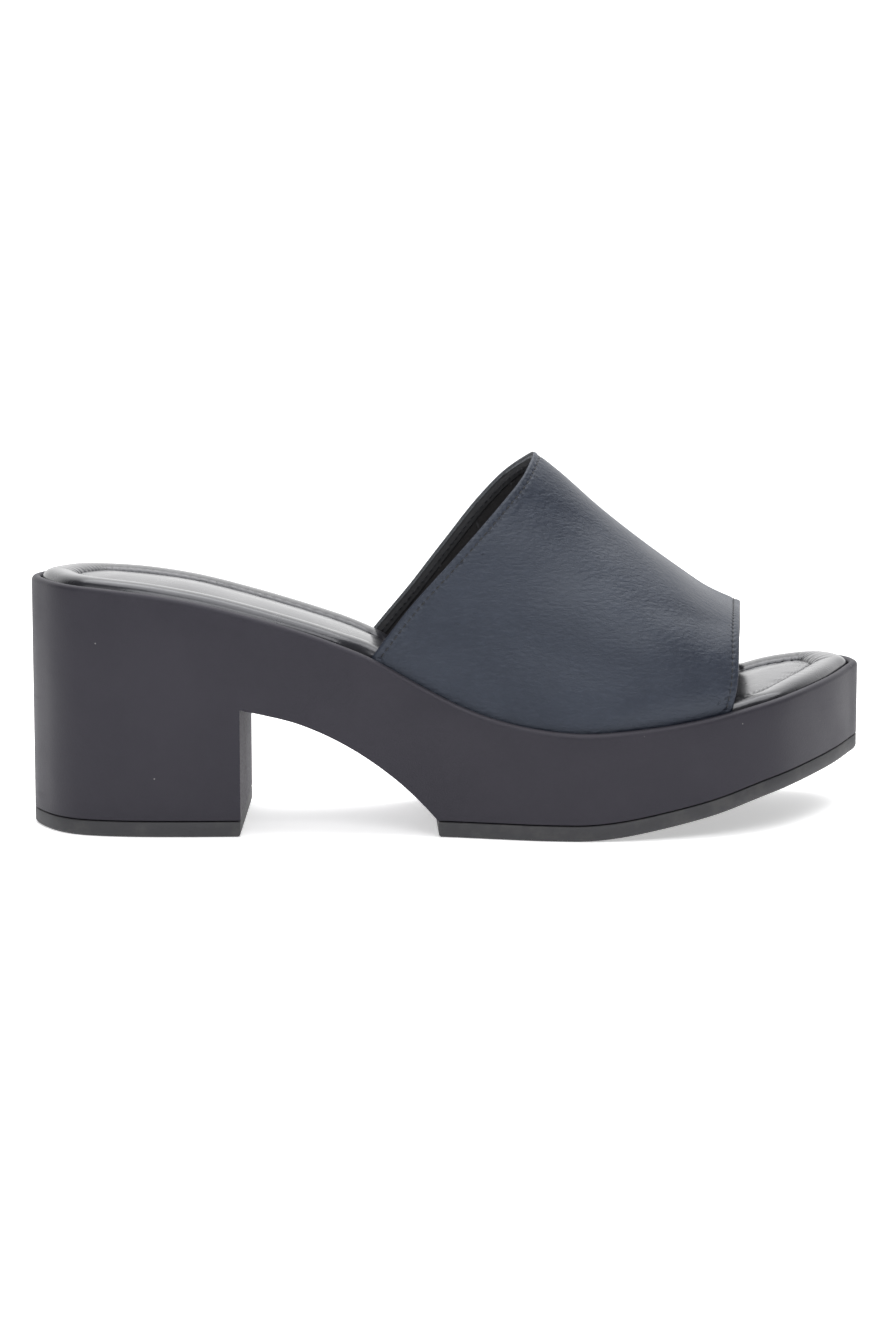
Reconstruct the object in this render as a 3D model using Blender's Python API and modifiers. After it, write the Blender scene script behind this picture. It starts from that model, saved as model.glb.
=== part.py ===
"""Heeled slide: a right shoe with a platform, a block heel and a broad strap.

Metres, +Z up. The toe points to +X, the inner (medial) side of the foot is +Y,
the floor is z = 0, and the origin is under the middle of the sole's outline.
Every section is worked out from the driving dimensions below; the tables hold
shares of those dimensions.
"""

import math
from typing import Callable, NamedTuple, Sequence

import bmesh
import bpy
import numpy as np

# Main sizes of the shoe
LENGTH = 0.247              # heel back to toe tip
BALL_WIDTH = 0.0883         # widest place of the sole
HEEL_HEIGHT = 0.0736        # rim above the floor at the heel's back
PLATFORM_HEIGHT = 0.0314    # rim above the floor at the ball
TOE_HEIGHT = 0.0440         # rim above the floor at the toe's tip
TOE_SPRING = 0.0170         # underside above the floor at the toe's tip
INSTEP_HEIGHT = 0.1090      # highest point of the strap above the floor

# Heel and arch
HEEL_LENGTH = 0.0612        # heel back to breast, on the outer side
BREAST_REACH = 0.0024       # how much further forward the breast is on the inner side
ARCH_HEIGHT = 0.0372        # top of the arch at the breast
FOREFOOT_START = 0.1185     # heel back to the back edge of the forefoot's tread

# Rubber under heel and forefoot
TREAD = 0.0046              # thickness
TREAD_EDGE = 0.0012         # rounding of its lower edge
SEAM_GAP = 0.0004           # groove between rubber and sole

# Rim and tray of the sole
RIM_WIDTH = 0.0026
RIM_ROUND = 0.0016          # rounding of its outer edge
TRAY_DEPTH = 0.0070         # rim down to the tray's floor

# Strap
WALL = 0.0020               # leather and lining together
TUCK_DEPTH = 0.0055         # how far its margins go down inside the rim
STRAP_BACK = 0.0992         # heel back to the strap's lower back corners
STRAP_FRONT = 0.2035        # heel back to its lower front corner, outer side
STRAP_FRONT_REACH = 0.0090  # how much further forward that corner is on the inner side
BACK_LEAN = 0.0485          # how far the back edge's top lies ahead of its corners
FRONT_LEAN = 0.0022         # the same for the front edge
FRONT_RISE = 0.0243         # top of its front edge above the rim
RIDGE_SHIFT = 0.0030        # how far the instep's ridge leans to the inner side

# Insole
ROLL_WIDTH = 0.0105         # padded roll round the footbed
ROLL_RISE = 0.0022          # its crest above the rim
ROLL_GAP = 0.0004           # between rim and roll
ROLL_LEAD = 0.0080          # length in which the roll draws in ahead of the strap
PANEL_CROWN = 0.0012        # how far the panel swells above its seam

CLEARANCE = 0.0003          # between neighbouring pieces

# Fineness
STATIONS = 44               # across-pairs along the whole sole
END_STATIONS = 22           # across-pairs along a tread
STRAP_ROWS = 16             # strap, back to front
STRAP_COLUMNS = 28          # strap, side to side
SPAN_SAMPLES = 24           # points on each span of the outline's curve


class OutlineRow(NamedTuple):
    """Half widths of the sole at one place; shares of LENGTH and BALL_WIDTH."""

    along: float
    lateral: float
    medial: float


class RimRow(NamedTuple):
    """Rim height at one place; shares of the rise to the heel and to the toe."""

    along: float
    of_heel: float
    of_toe: float


class EdgeRow(NamedTuple):
    """Lean of one of the strap's edges at one height, on outer and inner side, as shares."""

    rise: float
    outer: float
    inner: float


class CurveRow(NamedTuple):
    """One point of a plain curve, both columns as shares."""

    along: float
    share: float


HEEL_TIP = CurveRow(0.0, -0.054)
TOE_TIP = CurveRow(1.0, 0.177)
OUTLINE = (
    OutlineRow(0.020, 0.212, 0.104),
    OutlineRow(0.050, 0.307, 0.201),
    OutlineRow(0.090, 0.350, 0.244),
    OutlineRow(0.150, 0.371, 0.265),
    OutlineRow(0.250, 0.375, 0.273),
    OutlineRow(0.350, 0.369, 0.264),
    OutlineRow(0.420, 0.373, 0.281),
    OutlineRow(0.480, 0.398, 0.333),
    OutlineRow(0.540, 0.441, 0.405),
    OutlineRow(0.600, 0.483, 0.466),
    OutlineRow(0.660, 0.500, 0.496),
    OutlineRow(0.720, 0.490, 0.500),
    OutlineRow(0.780, 0.459, 0.497),
    OutlineRow(0.830, 0.417, 0.492),
    OutlineRow(0.880, 0.339, 0.485),
    OutlineRow(0.920, 0.222, 0.474),
    OutlineRow(0.960, 0.064, 0.442),
    OutlineRow(0.985, -0.068, 0.370),
)

RIM = (
    RimRow(0.000, 1.000, 0.0),
    RimRow(0.050, 0.984, 0.0),
    RimRow(0.100, 0.962, 0.0),
    RimRow(0.180, 0.898, 0.0),
    RimRow(0.260, 0.784, 0.0),
    RimRow(0.320, 0.675, 0.0),
    RimRow(0.365, 0.578, 0.0),
    RimRow(0.402, 0.486, 0.0),
    RimRow(0.436, 0.375, 0.0),
    RimRow(0.470, 0.267, 0.0),
    RimRow(0.505, 0.168, 0.0),
    RimRow(0.540, 0.094, 0.0),
    RimRow(0.575, 0.044, 0.0),
    RimRow(0.610, 0.014, 0.0),
    RimRow(0.650, 0.000, 0.0),
    RimRow(0.700, 0.000, 0.055),
    RimRow(0.770, 0.000, 0.210),
    RimRow(0.830, 0.000, 0.425),
    RimRow(0.880, 0.000, 0.610),
    RimRow(0.930, 0.000, 0.770),
    RimRow(0.970, 0.000, 0.890),
    RimRow(1.000, 0.000, 1.000),
)

# Underside of the forefoot above the floor, as a share of TOE_SPRING
SPRING = (
    CurveRow(0.000, 0.00),
    CurveRow(0.640, 0.00),
    CurveRow(0.685, 0.05),
    CurveRow(0.740, 0.19),
    CurveRow(0.800, 0.38),
    CurveRow(0.865, 0.65),
    CurveRow(0.920, 0.81),
    CurveRow(0.970, 0.93),
    CurveRow(1.000, 1.00),
)

# Underside of the arch, breast to forefoot, as a share of ARCH_HEIGHT
ARCH = (
    CurveRow(0.00, 1.00),
    CurveRow(0.10, 0.968),
    CurveRow(0.30, 0.885),
    CurveRow(0.54, 0.711),
    CurveRow(0.78, 0.455),
    CurveRow(0.92, 0.258),
    CurveRow(1.00, 0.125),
)

# Drop of the strap's top line, apex to front edge
TOP_LINE = (
    CurveRow(0.000, 0.000),
    CurveRow(0.123, 0.132),
    CurveRow(0.314, 0.360),
    CurveRow(0.504, 0.564),
    CurveRow(0.696, 0.755),
    CurveRow(0.838, 0.889),
    CurveRow(1.000, 1.000),
)

# Back edge of the strap from its corners to its top: it bows back on the inner side
BACK_EDGE = (
    EdgeRow(0.00, 0.000, 0.000),
    EdgeRow(0.25, 0.228, 0.243),
    EdgeRow(0.50, 0.500, 0.466),
    EdgeRow(0.75, 0.772, 0.690),
    EdgeRow(0.88, 0.908, 0.830),
    EdgeRow(1.00, 1.000, 1.000),
)

# Front edge of the strap: its sides stand nearly upright
FRONT_EDGE = (
    EdgeRow(0.00, 0.000, 0.000),
    EdgeRow(0.15, 0.420, 0.420),
    EdgeRow(0.30, 0.680, 0.680),
    EdgeRow(0.50, 0.840, 0.840),
    EdgeRow(0.80, 0.920, 0.920),
    EdgeRow(1.00, 1.000, 1.000),
)

# Squareness of the strap's arch, back to front: 2 is an ellipse
SQUARENESS = (
    CurveRow(0.0, 2.10),
    CurveRow(0.5, 2.25),
    CurveRow(1.0, 2.55),
)

# Section of the padded roll, rim side to seam: share of its width, share of its height
ROLL_SECTION = (
    CurveRow(0.00, 0.00),
    CurveRow(0.00, 0.64),
    CurveRow(0.06, 0.82),
    CurveRow(0.20, 0.95),
    CurveRow(0.42, 1.00),
    CurveRow(0.66, 0.98),
    CurveRow(0.86, 0.92),
    CurveRow(1.00, 0.83),
    CurveRow(1.00, 0.00),
)

# Rise of the roll's crest above the rim along the shoe: pinched up at the strap's back
CREST = (
    CurveRow(0.00, 1.00),
    CurveRow(0.28, 1.00),
    CurveRow(0.41, 1.45),
    CurveRow(0.55, 1.00),
    CurveRow(0.78, 0.65),
    CurveRow(0.86, 0.70),
    CurveRow(0.92, 1.00),
    CurveRow(1.00, 1.00),
)

# Rings of the insole panel from its edge to its spine: share of the way, share of the crown
PANEL_RINGS = (
    CurveRow(0.00, 0.00),
    CurveRow(0.22, 0.55),
    CurveRow(0.55, 0.95),
)

# Nodes and their materials: colour, roughness
FINISHES = {
    "sole_unit": ((0.060, 0.059, 0.066, 1.0), 0.62),
    "heel_top_piece": ((0.045, 0.045, 0.050, 1.0), 0.70),
    "forefoot_outsole": ((0.045, 0.045, 0.050, 1.0), 0.70),
    "insole_roll": ((0.030, 0.030, 0.034, 1.0), 0.25),
    "insole_panel": ((0.030, 0.030, 0.034, 1.0), 0.20),
    "upper": ((0.022, 0.023, 0.030, 1.0), 0.42),
}

Point = tuple[float, float]
Height = Callable[[float], float]


def smooth_curve(rows: Sequence[CurveRow], place: float) -> float:
    """Reads a curve through a table's rows, flat beyond its ends, without overshoot."""
    xs = np.array([row.along for row in rows])
    ys = np.array([row.share for row in rows])
    place = float(np.clip(place, xs[0], xs[-1]))
    steps = np.diff(ys) / np.diff(xs)
    slopes = np.concatenate(([steps[0]], (steps[:-1] + steps[1:]) / 2.0, [steps[-1]]))
    flat = np.concatenate(([False], steps[:-1] * steps[1:] <= 0.0, [False]))
    slopes[flat] = 0.0
    span = int(np.clip(np.searchsorted(xs, place) - 1, 0, len(steps) - 1))
    width = xs[span + 1] - xs[span]
    t = (place - xs[span]) / width
    return float(
        (2 * t**3 - 3 * t**2 + 1) * ys[span]
        + (t**3 - 2 * t**2 + t) * width * slopes[span]
        + (3 * t**2 - 2 * t**3) * ys[span + 1]
        + (t**3 - t**2) * width * slopes[span + 1]
    )


def mix(first: float, second: float, share: float) -> float:
    """Value between two others."""
    return first + (second - first) * share


def ease(share: float) -> float:
    """Soft step from 0 to 1."""
    share = min(max(share, 0.0), 1.0)
    return share * share * (3.0 - 2.0 * share)


def rim_height(x: float) -> float:
    """Top of the rim above the floor."""
    place = x / LENGTH
    of_heel = smooth_curve([CurveRow(row.along, row.of_heel) for row in RIM], place)
    of_toe = smooth_curve([CurveRow(row.along, row.of_toe) for row in RIM], place)
    rise = of_heel * (HEEL_HEIGHT - PLATFORM_HEIGHT) + of_toe * (TOE_HEIGHT - PLATFORM_HEIGHT)
    return PLATFORM_HEIGHT + rise


def floor_height(x: float) -> float:
    """Underside of the treads above the floor."""
    return smooth_curve(SPRING, x / LENGTH) * TOE_SPRING


def arch_height(x: float) -> float:
    """Underside of the sole between heel and forefoot."""
    return smooth_curve(ARCH, (x - HEEL_LENGTH) / (FOREFOOT_START - HEEL_LENGTH)) * ARCH_HEIGHT


def tray_height(x: float) -> float:
    """Floor of the tray that the insole lies in."""
    return rim_height(x) - TRAY_DEPTH


def outline_curve() -> np.ndarray:
    """Closed curve of the sole's outline, from the heel along the outer side."""
    lateral = [(row.along, -row.lateral) for row in OUTLINE]
    medial = [(row.along, row.medial) for row in reversed(OUTLINE)]
    shares = [tuple(HEEL_TIP), *lateral, tuple(TOE_TIP), *medial]
    points = np.array(shares) * np.array([LENGTH, BALL_WIDTH])
    t = np.linspace(0.0, 1.0, SPAN_SAMPLES, endpoint=False)[:, None]
    spans = []
    for index in range(len(points)):
        before, start, end, after = (points[(index + step) % len(points)] for step in (-1, 0, 1, 2))
        reach = np.linalg.norm(end - start)
        leave = (end - before) / np.linalg.norm(end - before) * reach
        arrive = (after - start) / np.linalg.norm(after - start) * reach
        spans.append(
            (2 * t**3 - 3 * t**2 + 1) * start
            + (t**3 - 2 * t**2 + t) * leave
            + (3 * t**2 - 2 * t**3) * end
            + (t**3 - t**2) * arrive
        )
    return np.concatenate(spans)


def inset_sides(inset: Height) -> tuple[np.ndarray, np.ndarray]:
    """Outer and inner side of the outline, drawn inwards by an inset that varies along it."""
    curve = outline_curve()
    ahead = np.roll(curve, -1, axis=0) - np.roll(curve, 1, axis=0)
    ahead /= np.linalg.norm(ahead, axis=1)[:, None]
    inward = np.stack([-ahead[:, 1], ahead[:, 0]], axis=1)
    curve = curve + inward * np.array([inset(x) for x in curve[:, 0]])[:, None]
    back = int(np.argmin(curve[:, 0]))
    curve = np.roll(curve, -back, axis=0)
    front = int(np.argmax(curve[:, 0]))
    lateral = curve[: front + 1]
    medial = np.concatenate((curve[front:], curve[:1]))[::-1]
    return lateral, medial


def side_at(side: np.ndarray, x: float) -> float:
    """Reads one side of an outline at a place along the shoe."""
    return float(np.interp(x, np.maximum.accumulate(side[:, 0]), side[:, 1]))


def full_ring(inset: Height, count: int = STATIONS) -> list[Point]:
    """Ring round the whole outline: heel tip, outer side, toe tip, inner side."""
    lateral, medial = inset_sides(inset)
    back, front = lateral[0, 0], lateral[-1, 0]
    places = [mix(back, front, (1.0 - math.cos(math.pi * k / count)) / 2.0) for k in range(count + 1)]
    outer = [(x, side_at(lateral, x)) for x in places]
    inner = [(x, side_at(medial, x)) for x in reversed(places[1:-1])]
    return outer + inner


def tread_ring(inset: float, lateral_cut: float, medial_cut: float, tip_first: bool) -> list[Point]:
    """Ring round one end of the outline, closed by a straight cut across the shoe.

    Args:
        inset: how far the ring is drawn in from the outline and from the cut.
        lateral_cut: place of the cut on the outer side.
        medial_cut: place of the cut on the inner side.
        tip_first: True for the heel's end, False for the toe's end.
    """
    lateral, medial = inset_sides(lambda x: inset)
    tip = lateral[0, 0] if tip_first else lateral[-1, 0]
    draw = -inset if tip_first else inset
    shares = [1.0 - math.cos(math.pi / 2.0 * k / END_STATIONS) for k in range(END_STATIONS + 1)]
    outer_places = [mix(tip, lateral_cut + draw, share) for share in shares]
    inner_places = [mix(tip, medial_cut + draw, share) for share in shares]
    outer = [(x, side_at(lateral, x)) for x in outer_places]
    inner = [(x, side_at(medial, x)) for x in reversed(inner_places[1:])]
    return outer + inner


def lift(ring: Sequence[Point], height: Height) -> list[tuple[float, float, float]]:
    """Gives each point of a flat ring its height."""
    return [(x, y, height(x)) for x, y in ring]


def finish_mesh(name: str, bm: bmesh.types.BMesh) -> bpy.types.Object:
    """Turns a bmesh into a smooth-shaded object centred on the shoe's origin."""
    bmesh.ops.translate(bm, verts=bm.verts[:], vec=(-LENGTH / 2.0, 0.0, 0.0))
    bmesh.ops.recalc_face_normals(bm, faces=bm.faces[:])
    mesh = bpy.data.meshes.new(name)
    bm.to_mesh(mesh)
    bm.free()
    mesh.shade_smooth()
    mesh.set_sharp_from_angle(angle=math.radians(40.0))
    return bpy.data.objects.new(name, mesh)


def bridge(bm: bmesh.types.BMesh, first: list, second: list) -> None:
    """Joins two rings of vertices by a band of quads."""
    count = len(first)
    for index in range(count):
        after = (index + 1) % count
        bm.faces.new((first[index], first[after], second[after], second[index]))


def cap(bm: bmesh.types.BMesh, ring: list) -> None:
    """Closes a ring by strips that run across the shoe, pair by pair."""
    count = len(ring)
    for index in range(count // 2):
        strip = [ring[index], ring[index + 1], ring[-index - 1], ring[-index % count]]
        corners = list(dict.fromkeys(strip))
        if len(corners) > 2:
            bm.faces.new(corners)


def ring_loft(name: str, rings: Sequence[Sequence[tuple]], closed: bool = False) -> bpy.types.Object:
    """Solid through a row of rings, capped at both ends, or closed into a loop."""
    bm = bmesh.new()
    rows = [[bm.verts.new(point) for point in ring] for ring in rings]
    for first, second in zip(rows, rows[1:]):
        bridge(bm, first, second)
    if closed:
        bridge(bm, rows[-1], rows[0])
    else:
        cap(bm, rows[0])
        cap(bm, rows[-1])
    return finish_mesh(name, bm)


def arch_cutter() -> bpy.types.Object:
    """Block that opens the arch: heel breast, arch curve and the drop to the forefoot."""
    count = 18
    span = FOREFOOT_START - HEEL_LENGTH
    places = [HEEL_LENGTH + span * k / count for k in range(count + 1)]
    heights = [arch_height(x) for x in places]
    fall = (heights[-2] - heights[-1]) / (places[-1] - places[-2])
    exit_drop = heights[-1] + TREAD
    profile = [(x, z, 0.0) for x, z in zip(places, heights)]
    profile[0] = (HEEL_LENGTH, ARCH_HEIGHT, 1.0)
    profile.append((FOREFOOT_START + exit_drop / fall, -TREAD, 0.0))
    profile.append((HEEL_LENGTH, -TREAD, 1.0))
    bm = bmesh.new()
    sides = []
    for y in (-BALL_WIDTH, BALL_WIDTH):
        share = breast_share(y)
        sides.append([bm.verts.new((x + BREAST_REACH * turned * share, y, z)) for x, z, turned in profile])
    bridge(bm, sides[0], sides[1])
    bm.faces.new(sides[0])
    bm.faces.new(list(reversed(sides[1])))
    cutter = finish_mesh("arch_cutter", bm)
    cutter.hide_render = True
    cutter.display_type = "WIRE"
    return cutter


def breast_share(y: float) -> float:
    """Place across the heel's breast: 0 at its outer corner, 1 at its inner corner."""
    lateral, medial = inset_sides(lambda x: 0.0)
    outer = side_at(lateral, HEEL_LENGTH)
    inner = side_at(medial, HEEL_LENGTH)
    return (y - outer) / (inner - outer)


def sole_unit() -> bpy.types.Object:
    """One-piece platform and heel, with its rim and the tray for the insole."""
    underside = TREAD + SEAM_GAP
    corner = 1.0 - math.sqrt(0.5)
    inner_round = RIM_ROUND * 0.6
    steps = (
        (0.0, lambda x: floor_height(x) + underside),
        (0.0, lambda x: rim_height(x) - RIM_ROUND),
        (RIM_ROUND * corner, lambda x: rim_height(x) - RIM_ROUND * corner),
        (RIM_ROUND, rim_height),
        (RIM_WIDTH - inner_round, rim_height),
        (RIM_WIDTH, lambda x: rim_height(x) - inner_round),
        (RIM_WIDTH, tray_height),
    )
    rings = [lift(full_ring(lambda x, inset=inset: inset), height) for inset, height in steps]
    return ring_loft("sole_unit", rings)


def tread(name: str, lateral_cut: float, medial_cut: float, tip_first: bool) -> bpy.types.Object:
    """Rubber under the heel or the forefoot, with a rounded lower edge."""
    steps = (
        (TREAD_EDGE, 0.0),
        (TREAD_EDGE * 0.3, TREAD_EDGE * 0.3),
        (0.0, TREAD_EDGE),
        (0.0, TREAD),
    )
    rings = []
    for inset, rise in steps:
        ring = tread_ring(inset, lateral_cut, medial_cut, tip_first)
        rings.append(lift(ring, lambda x, rise=rise: floor_height(x) + rise))
    return ring_loft(name, rings)


def strap_share(x: float) -> float:
    """1 where the strap's margins stand beside the insole, 0 well away from them."""
    back = ease((x - (STRAP_BACK - CLEARANCE - ROLL_LEAD)) / ROLL_LEAD * 1.25)
    front = ease((STRAP_FRONT + STRAP_FRONT_REACH + CLEARANCE + ROLL_LEAD - x) / ROLL_LEAD * 1.25)
    return back * front


def roll_inset(x: float) -> float:
    """Outline to the outer side of the padded roll."""
    beside_rim = RIM_WIDTH + ROLL_GAP
    beside_strap = RIM_WIDTH + CLEARANCE + WALL + CLEARANCE
    return mix(beside_rim, beside_strap, strap_share(x))


def insole_level(x: float, share: float) -> float:
    """Height inside the insole: 0 at its underside, 1 at the roll's crest."""
    crest = rim_height(x) + ROLL_RISE * smooth_curve(CREST, x / LENGTH)
    return mix(tray_height(x) + CLEARANCE, crest, share)


def insole_roll() -> bpy.types.Object:
    """Padded roll that runs round the footbed."""
    rings = []
    for across, up in ROLL_SECTION:
        ring = full_ring(lambda x, across=across: roll_inset(x) + ROLL_WIDTH * across)
        rings.append(lift(ring, lambda x, up=up: insole_level(x, up)))
    return ring_loft("insole_roll", rings, closed=True)


def insole_panel() -> bpy.types.Object:
    """Sock panel inside the roll, slightly swollen."""
    edge = full_ring(lambda x: roll_inset(x) + ROLL_WIDTH + CLEARANCE)
    count = len(edge)
    seam = ROLL_SECTION[-2].share
    rings = [lift(edge, lambda x: insole_level(x, 0.0))]
    for way, crown in PANEL_RINGS:
        ring = []
        for index, (x, y) in enumerate(edge):
            spine = (y + edge[-index % count][1]) / 2.0
            middle = mix(edge[0][0], edge[count // 2][0], 0.5)
            point = (mix(x, middle, way * 0.2), mix(y, spine, way))
            ring.append(point)
        rings.append(lift(ring, lambda x, crown=crown: insole_level(x, seam) + PANEL_CROWN * crown))
    return ring_loft("insole_panel", rings)


def strap_lean(along: float, rise: float, across: float) -> float:
    """How far the strap leans ahead of its margins at one place of a section."""
    shares = []
    for edge in (BACK_EDGE, FRONT_EDGE):
        side = [CurveRow(row.rise, row.outer if across < 0.5 else row.inner) for row in edge]
        shares.append(smooth_curve(side, rise))
    return mix(BACK_LEAN, FRONT_LEAN, along) * mix(shares[0], shares[1], along)


def strap_top(along: float) -> float:
    """Height of the strap's top line, apex to front edge."""
    front_place = STRAP_FRONT + STRAP_FRONT_REACH / 2.0 + FRONT_LEAN
    front_height = rim_height(front_place) + FRONT_RISE
    return mix(INSTEP_HEIGHT, front_height, smooth_curve(TOP_LINE, along))


def strap_section(along: float) -> list[tuple[float, float, float]]:
    """Outer side of the strap in one slanted section, from margin to margin."""
    lateral, medial = inset_sides(lambda x: RIM_WIDTH + CLEARANCE)
    outer_x = mix(STRAP_BACK, STRAP_FRONT, along)
    inner_x = mix(STRAP_BACK, STRAP_FRONT + STRAP_FRONT_REACH, along)
    outer_y, inner_y = side_at(lateral, outer_x), side_at(medial, inner_x)
    power = 2.0 / smooth_curve(SQUARENESS, along)
    points = []
    for column in range(STRAP_COLUMNS + 1):
        angle = math.pi * column / STRAP_COLUMNS
        cosine = math.cos(angle)
        across = (1.0 - math.copysign(abs(cosine) ** power, cosine)) / 2.0
        rise = abs(math.sin(angle)) ** power if 0 < column < STRAP_COLUMNS else 0.0
        side_x = mix(outer_x, inner_x, across)
        x = side_x + strap_lean(along, rise, across)
        y = mix(outer_y, inner_y, across) + RIDGE_SHIFT * rise * rise
        points.append((x, y, mix(rim_height(side_x), strap_top(along), rise)))
    first, last = points[0], points[-1]
    points.insert(0, (first[0], first[1], first[2] - TUCK_DEPTH))
    points.append((last[0], last[1], last[2] - TUCK_DEPTH))
    return points


def upper() -> bpy.types.Object:
    """Broad strap: an open surface given its wall, with both margins tucked down."""
    bm = bmesh.new()
    rows = [strap_section(row / STRAP_ROWS) for row in range(STRAP_ROWS + 1)]
    grid = [[bm.verts.new(point) for point in row] for row in rows]
    for first, second in zip(grid, grid[1:]):
        for column in range(len(first) - 1):
            bm.faces.new((first[column], second[column], second[column + 1], first[column + 1]))
    strap = finish_mesh("upper", bm)
    shell = strap.modifiers.new("wall", "SOLIDIFY")
    shell.thickness = WALL
    shell.offset = -1.0
    shell.use_even_offset = True
    return strap


def give_material(obj: bpy.types.Object) -> None:
    """Gives a piece its own plain material."""
    color, roughness = FINISHES[obj.name]
    material = bpy.data.materials.new(obj.name)
    material.use_nodes = True
    shader = material.node_tree.nodes["Principled BSDF"]
    shader.inputs["Base Color"].default_value = color
    shader.inputs["Roughness"].default_value = roughness
    shader.inputs["Metallic"].default_value = 0.0
    obj.data.materials.append(material)


def new_collection(name: str) -> bpy.types.Collection:
    """Adds a collection to the scene."""
    collection = bpy.data.collections.new(name)
    bpy.context.scene.collection.children.link(collection)
    return collection


def main() -> None:
    """Clears the scene and builds the shoe."""
    for obj in list(bpy.data.objects):
        bpy.data.objects.remove(obj)
    pieces = new_collection("heeled_slide")
    cutters = new_collection("cutters")

    sole = sole_unit()
    cutter = arch_cutter()
    cut = sole.modifiers.new("arch", "BOOLEAN")
    cut.operation = "DIFFERENCE"
    cut.solver = "EXACT"
    cut.object = cutter
    cutters.objects.link(cutter)

    parts = (
        sole,
        tread("heel_top_piece", HEEL_LENGTH, HEEL_LENGTH + BREAST_REACH, tip_first=True),
        tread("forefoot_outsole", FOREFOOT_START, FOREFOOT_START, tip_first=False),
        insole_roll(),
        insole_panel(),
        upper(),
    )
    for piece in parts:
        pieces.objects.link(piece)
        give_material(piece)


if __name__ == "__main__":
    main()
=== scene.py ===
"""Looks of a heeled slide: a right shoe with a platform, a block heel and a broad strap.

Metres, +Z up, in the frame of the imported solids: the toe points to +X, the inner
side of the foot is +Y, the floor is z = 0 and the origin is under the middle of
the sole. The shoe is one body. The soft solids are replaced by padded and sewn
pieces; the moulded ones by finer skins with rounded edges.
"""

import logging
import math
from dataclasses import dataclass, field
from enum import Enum
from typing import Callable, Sequence

import bmesh
import bpy
import numpy as np
from mathutils import Matrix, Vector


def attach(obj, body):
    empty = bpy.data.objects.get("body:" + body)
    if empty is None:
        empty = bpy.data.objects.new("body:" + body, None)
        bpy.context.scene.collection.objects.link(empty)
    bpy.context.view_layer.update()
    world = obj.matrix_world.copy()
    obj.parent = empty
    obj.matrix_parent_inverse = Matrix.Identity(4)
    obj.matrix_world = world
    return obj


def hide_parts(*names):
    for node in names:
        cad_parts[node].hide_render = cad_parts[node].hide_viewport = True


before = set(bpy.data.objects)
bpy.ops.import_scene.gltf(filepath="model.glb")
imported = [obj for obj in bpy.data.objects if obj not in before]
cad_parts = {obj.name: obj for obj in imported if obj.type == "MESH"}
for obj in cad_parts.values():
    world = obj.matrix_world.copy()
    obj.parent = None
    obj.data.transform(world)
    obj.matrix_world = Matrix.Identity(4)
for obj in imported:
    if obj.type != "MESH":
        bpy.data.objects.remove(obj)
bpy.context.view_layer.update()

LOG = logging.getLogger("heeled_slide")
BODY = "root"
MM = 0.001

Array = np.ndarray
Piece = bpy.types.Object
Socket = bpy.types.NodeSocket
Table = Sequence[tuple[float, float]]
Colour = tuple[float, float, float]
Inset = Callable[[Array], Array] | float


# Smooth tables

class Curve:
    """Smooth curve through the rows of a short table, flat beyond its ends."""

    def __init__(self, rows: Table) -> None:
        """Keeps the rows and works out the slope at each.

        Args:
            rows: pairs of place and value, in rising order of place.
        """
        table = np.array(rows, float)
        self.places = table[:, 0]
        self.values = table[:, 1]
        steps = np.diff(self.values) / np.diff(self.places)
        slopes = np.concatenate(([steps[0]], (steps[:-1] + steps[1:]) / 2.0, [steps[-1]]))
        turns = np.concatenate(([False], steps[:-1] * steps[1:] <= 0.0, [False]))
        slopes[turns] = 0.0
        self.slopes = slopes

    def __call__(self, place: Array | float) -> Array:
        """Reads the curve.

        Args:
            place: where to read it, one number or an array.

        Returns:
            The values there.
        """
        place = np.clip(np.asarray(place, float), self.places[0], self.places[-1])
        span = np.clip(np.searchsorted(self.places, place) - 1, 0, len(self.places) - 2)
        width = self.places[span + 1] - self.places[span]
        t = (place - self.places[span]) / width
        leave, arrive = width * self.slopes[span], width * self.slopes[span + 1]
        return bend(t, self.values[span], self.values[span + 1], leave, arrive)


def bend(t: Array, first: Array, last: Array, leave: Array, arrive: Array) -> Array:
    """Smooth way between two values.

    Args:
        t: shares of the way.
        first: value at its start.
        last: value at its end.
        leave: slope at its start, over the whole way.
        arrive: slope at its end, over the whole way.

    Returns:
        The values at the shares.
    """
    return (
        (2 * t**3 - 3 * t**2 + 1) * first
        + (t**3 - 2 * t**2 + t) * leave
        + (3 * t**2 - 2 * t**3) * last
        + (t**3 - t**2) * arrive
    )


def crowded(count: int) -> Array:
    """Shares from 0 to 1 in a number of steps, closer together at both ends."""
    return (1.0 - np.cos(np.linspace(0.0, math.pi, count + 1))) / 2.0


def mix(first: Array | float, second: Array | float, share: Array | float) -> Array:
    """Value between two others."""
    return first + (np.asarray(second) - first) * share


def ease(share: Array | float) -> Array:
    """Soft step from 0 to 1."""
    share = np.clip(share, 0.0, 1.0)
    return share * share * (3.0 - 2.0 * share)


def hump(distance: Array, width: float) -> Array:
    """Bell of height 1 with soft feet, for grooves and ridges."""
    return np.exp(-((distance / width) ** 2))


def ripple(place: Array, lengths: Sequence[float], seed: int) -> Array:
    """Irregular wave of a few lengths, always the same for one seed.

    Args:
        place: distances along the piece, in metres.
        lengths: wave lengths in metres.
        seed: chooses the phases.

    Returns:
        Values between about -1 and 1.
    """
    phases = np.random.default_rng(seed).uniform(0.0, 2.0 * math.pi, len(lengths))
    waves = [np.sin(2.0 * math.pi * place / size + phase) for size, phase in zip(lengths, phases)]
    return sum(waves) / len(waves)


# Form of the last, the same as in the solids

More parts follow.
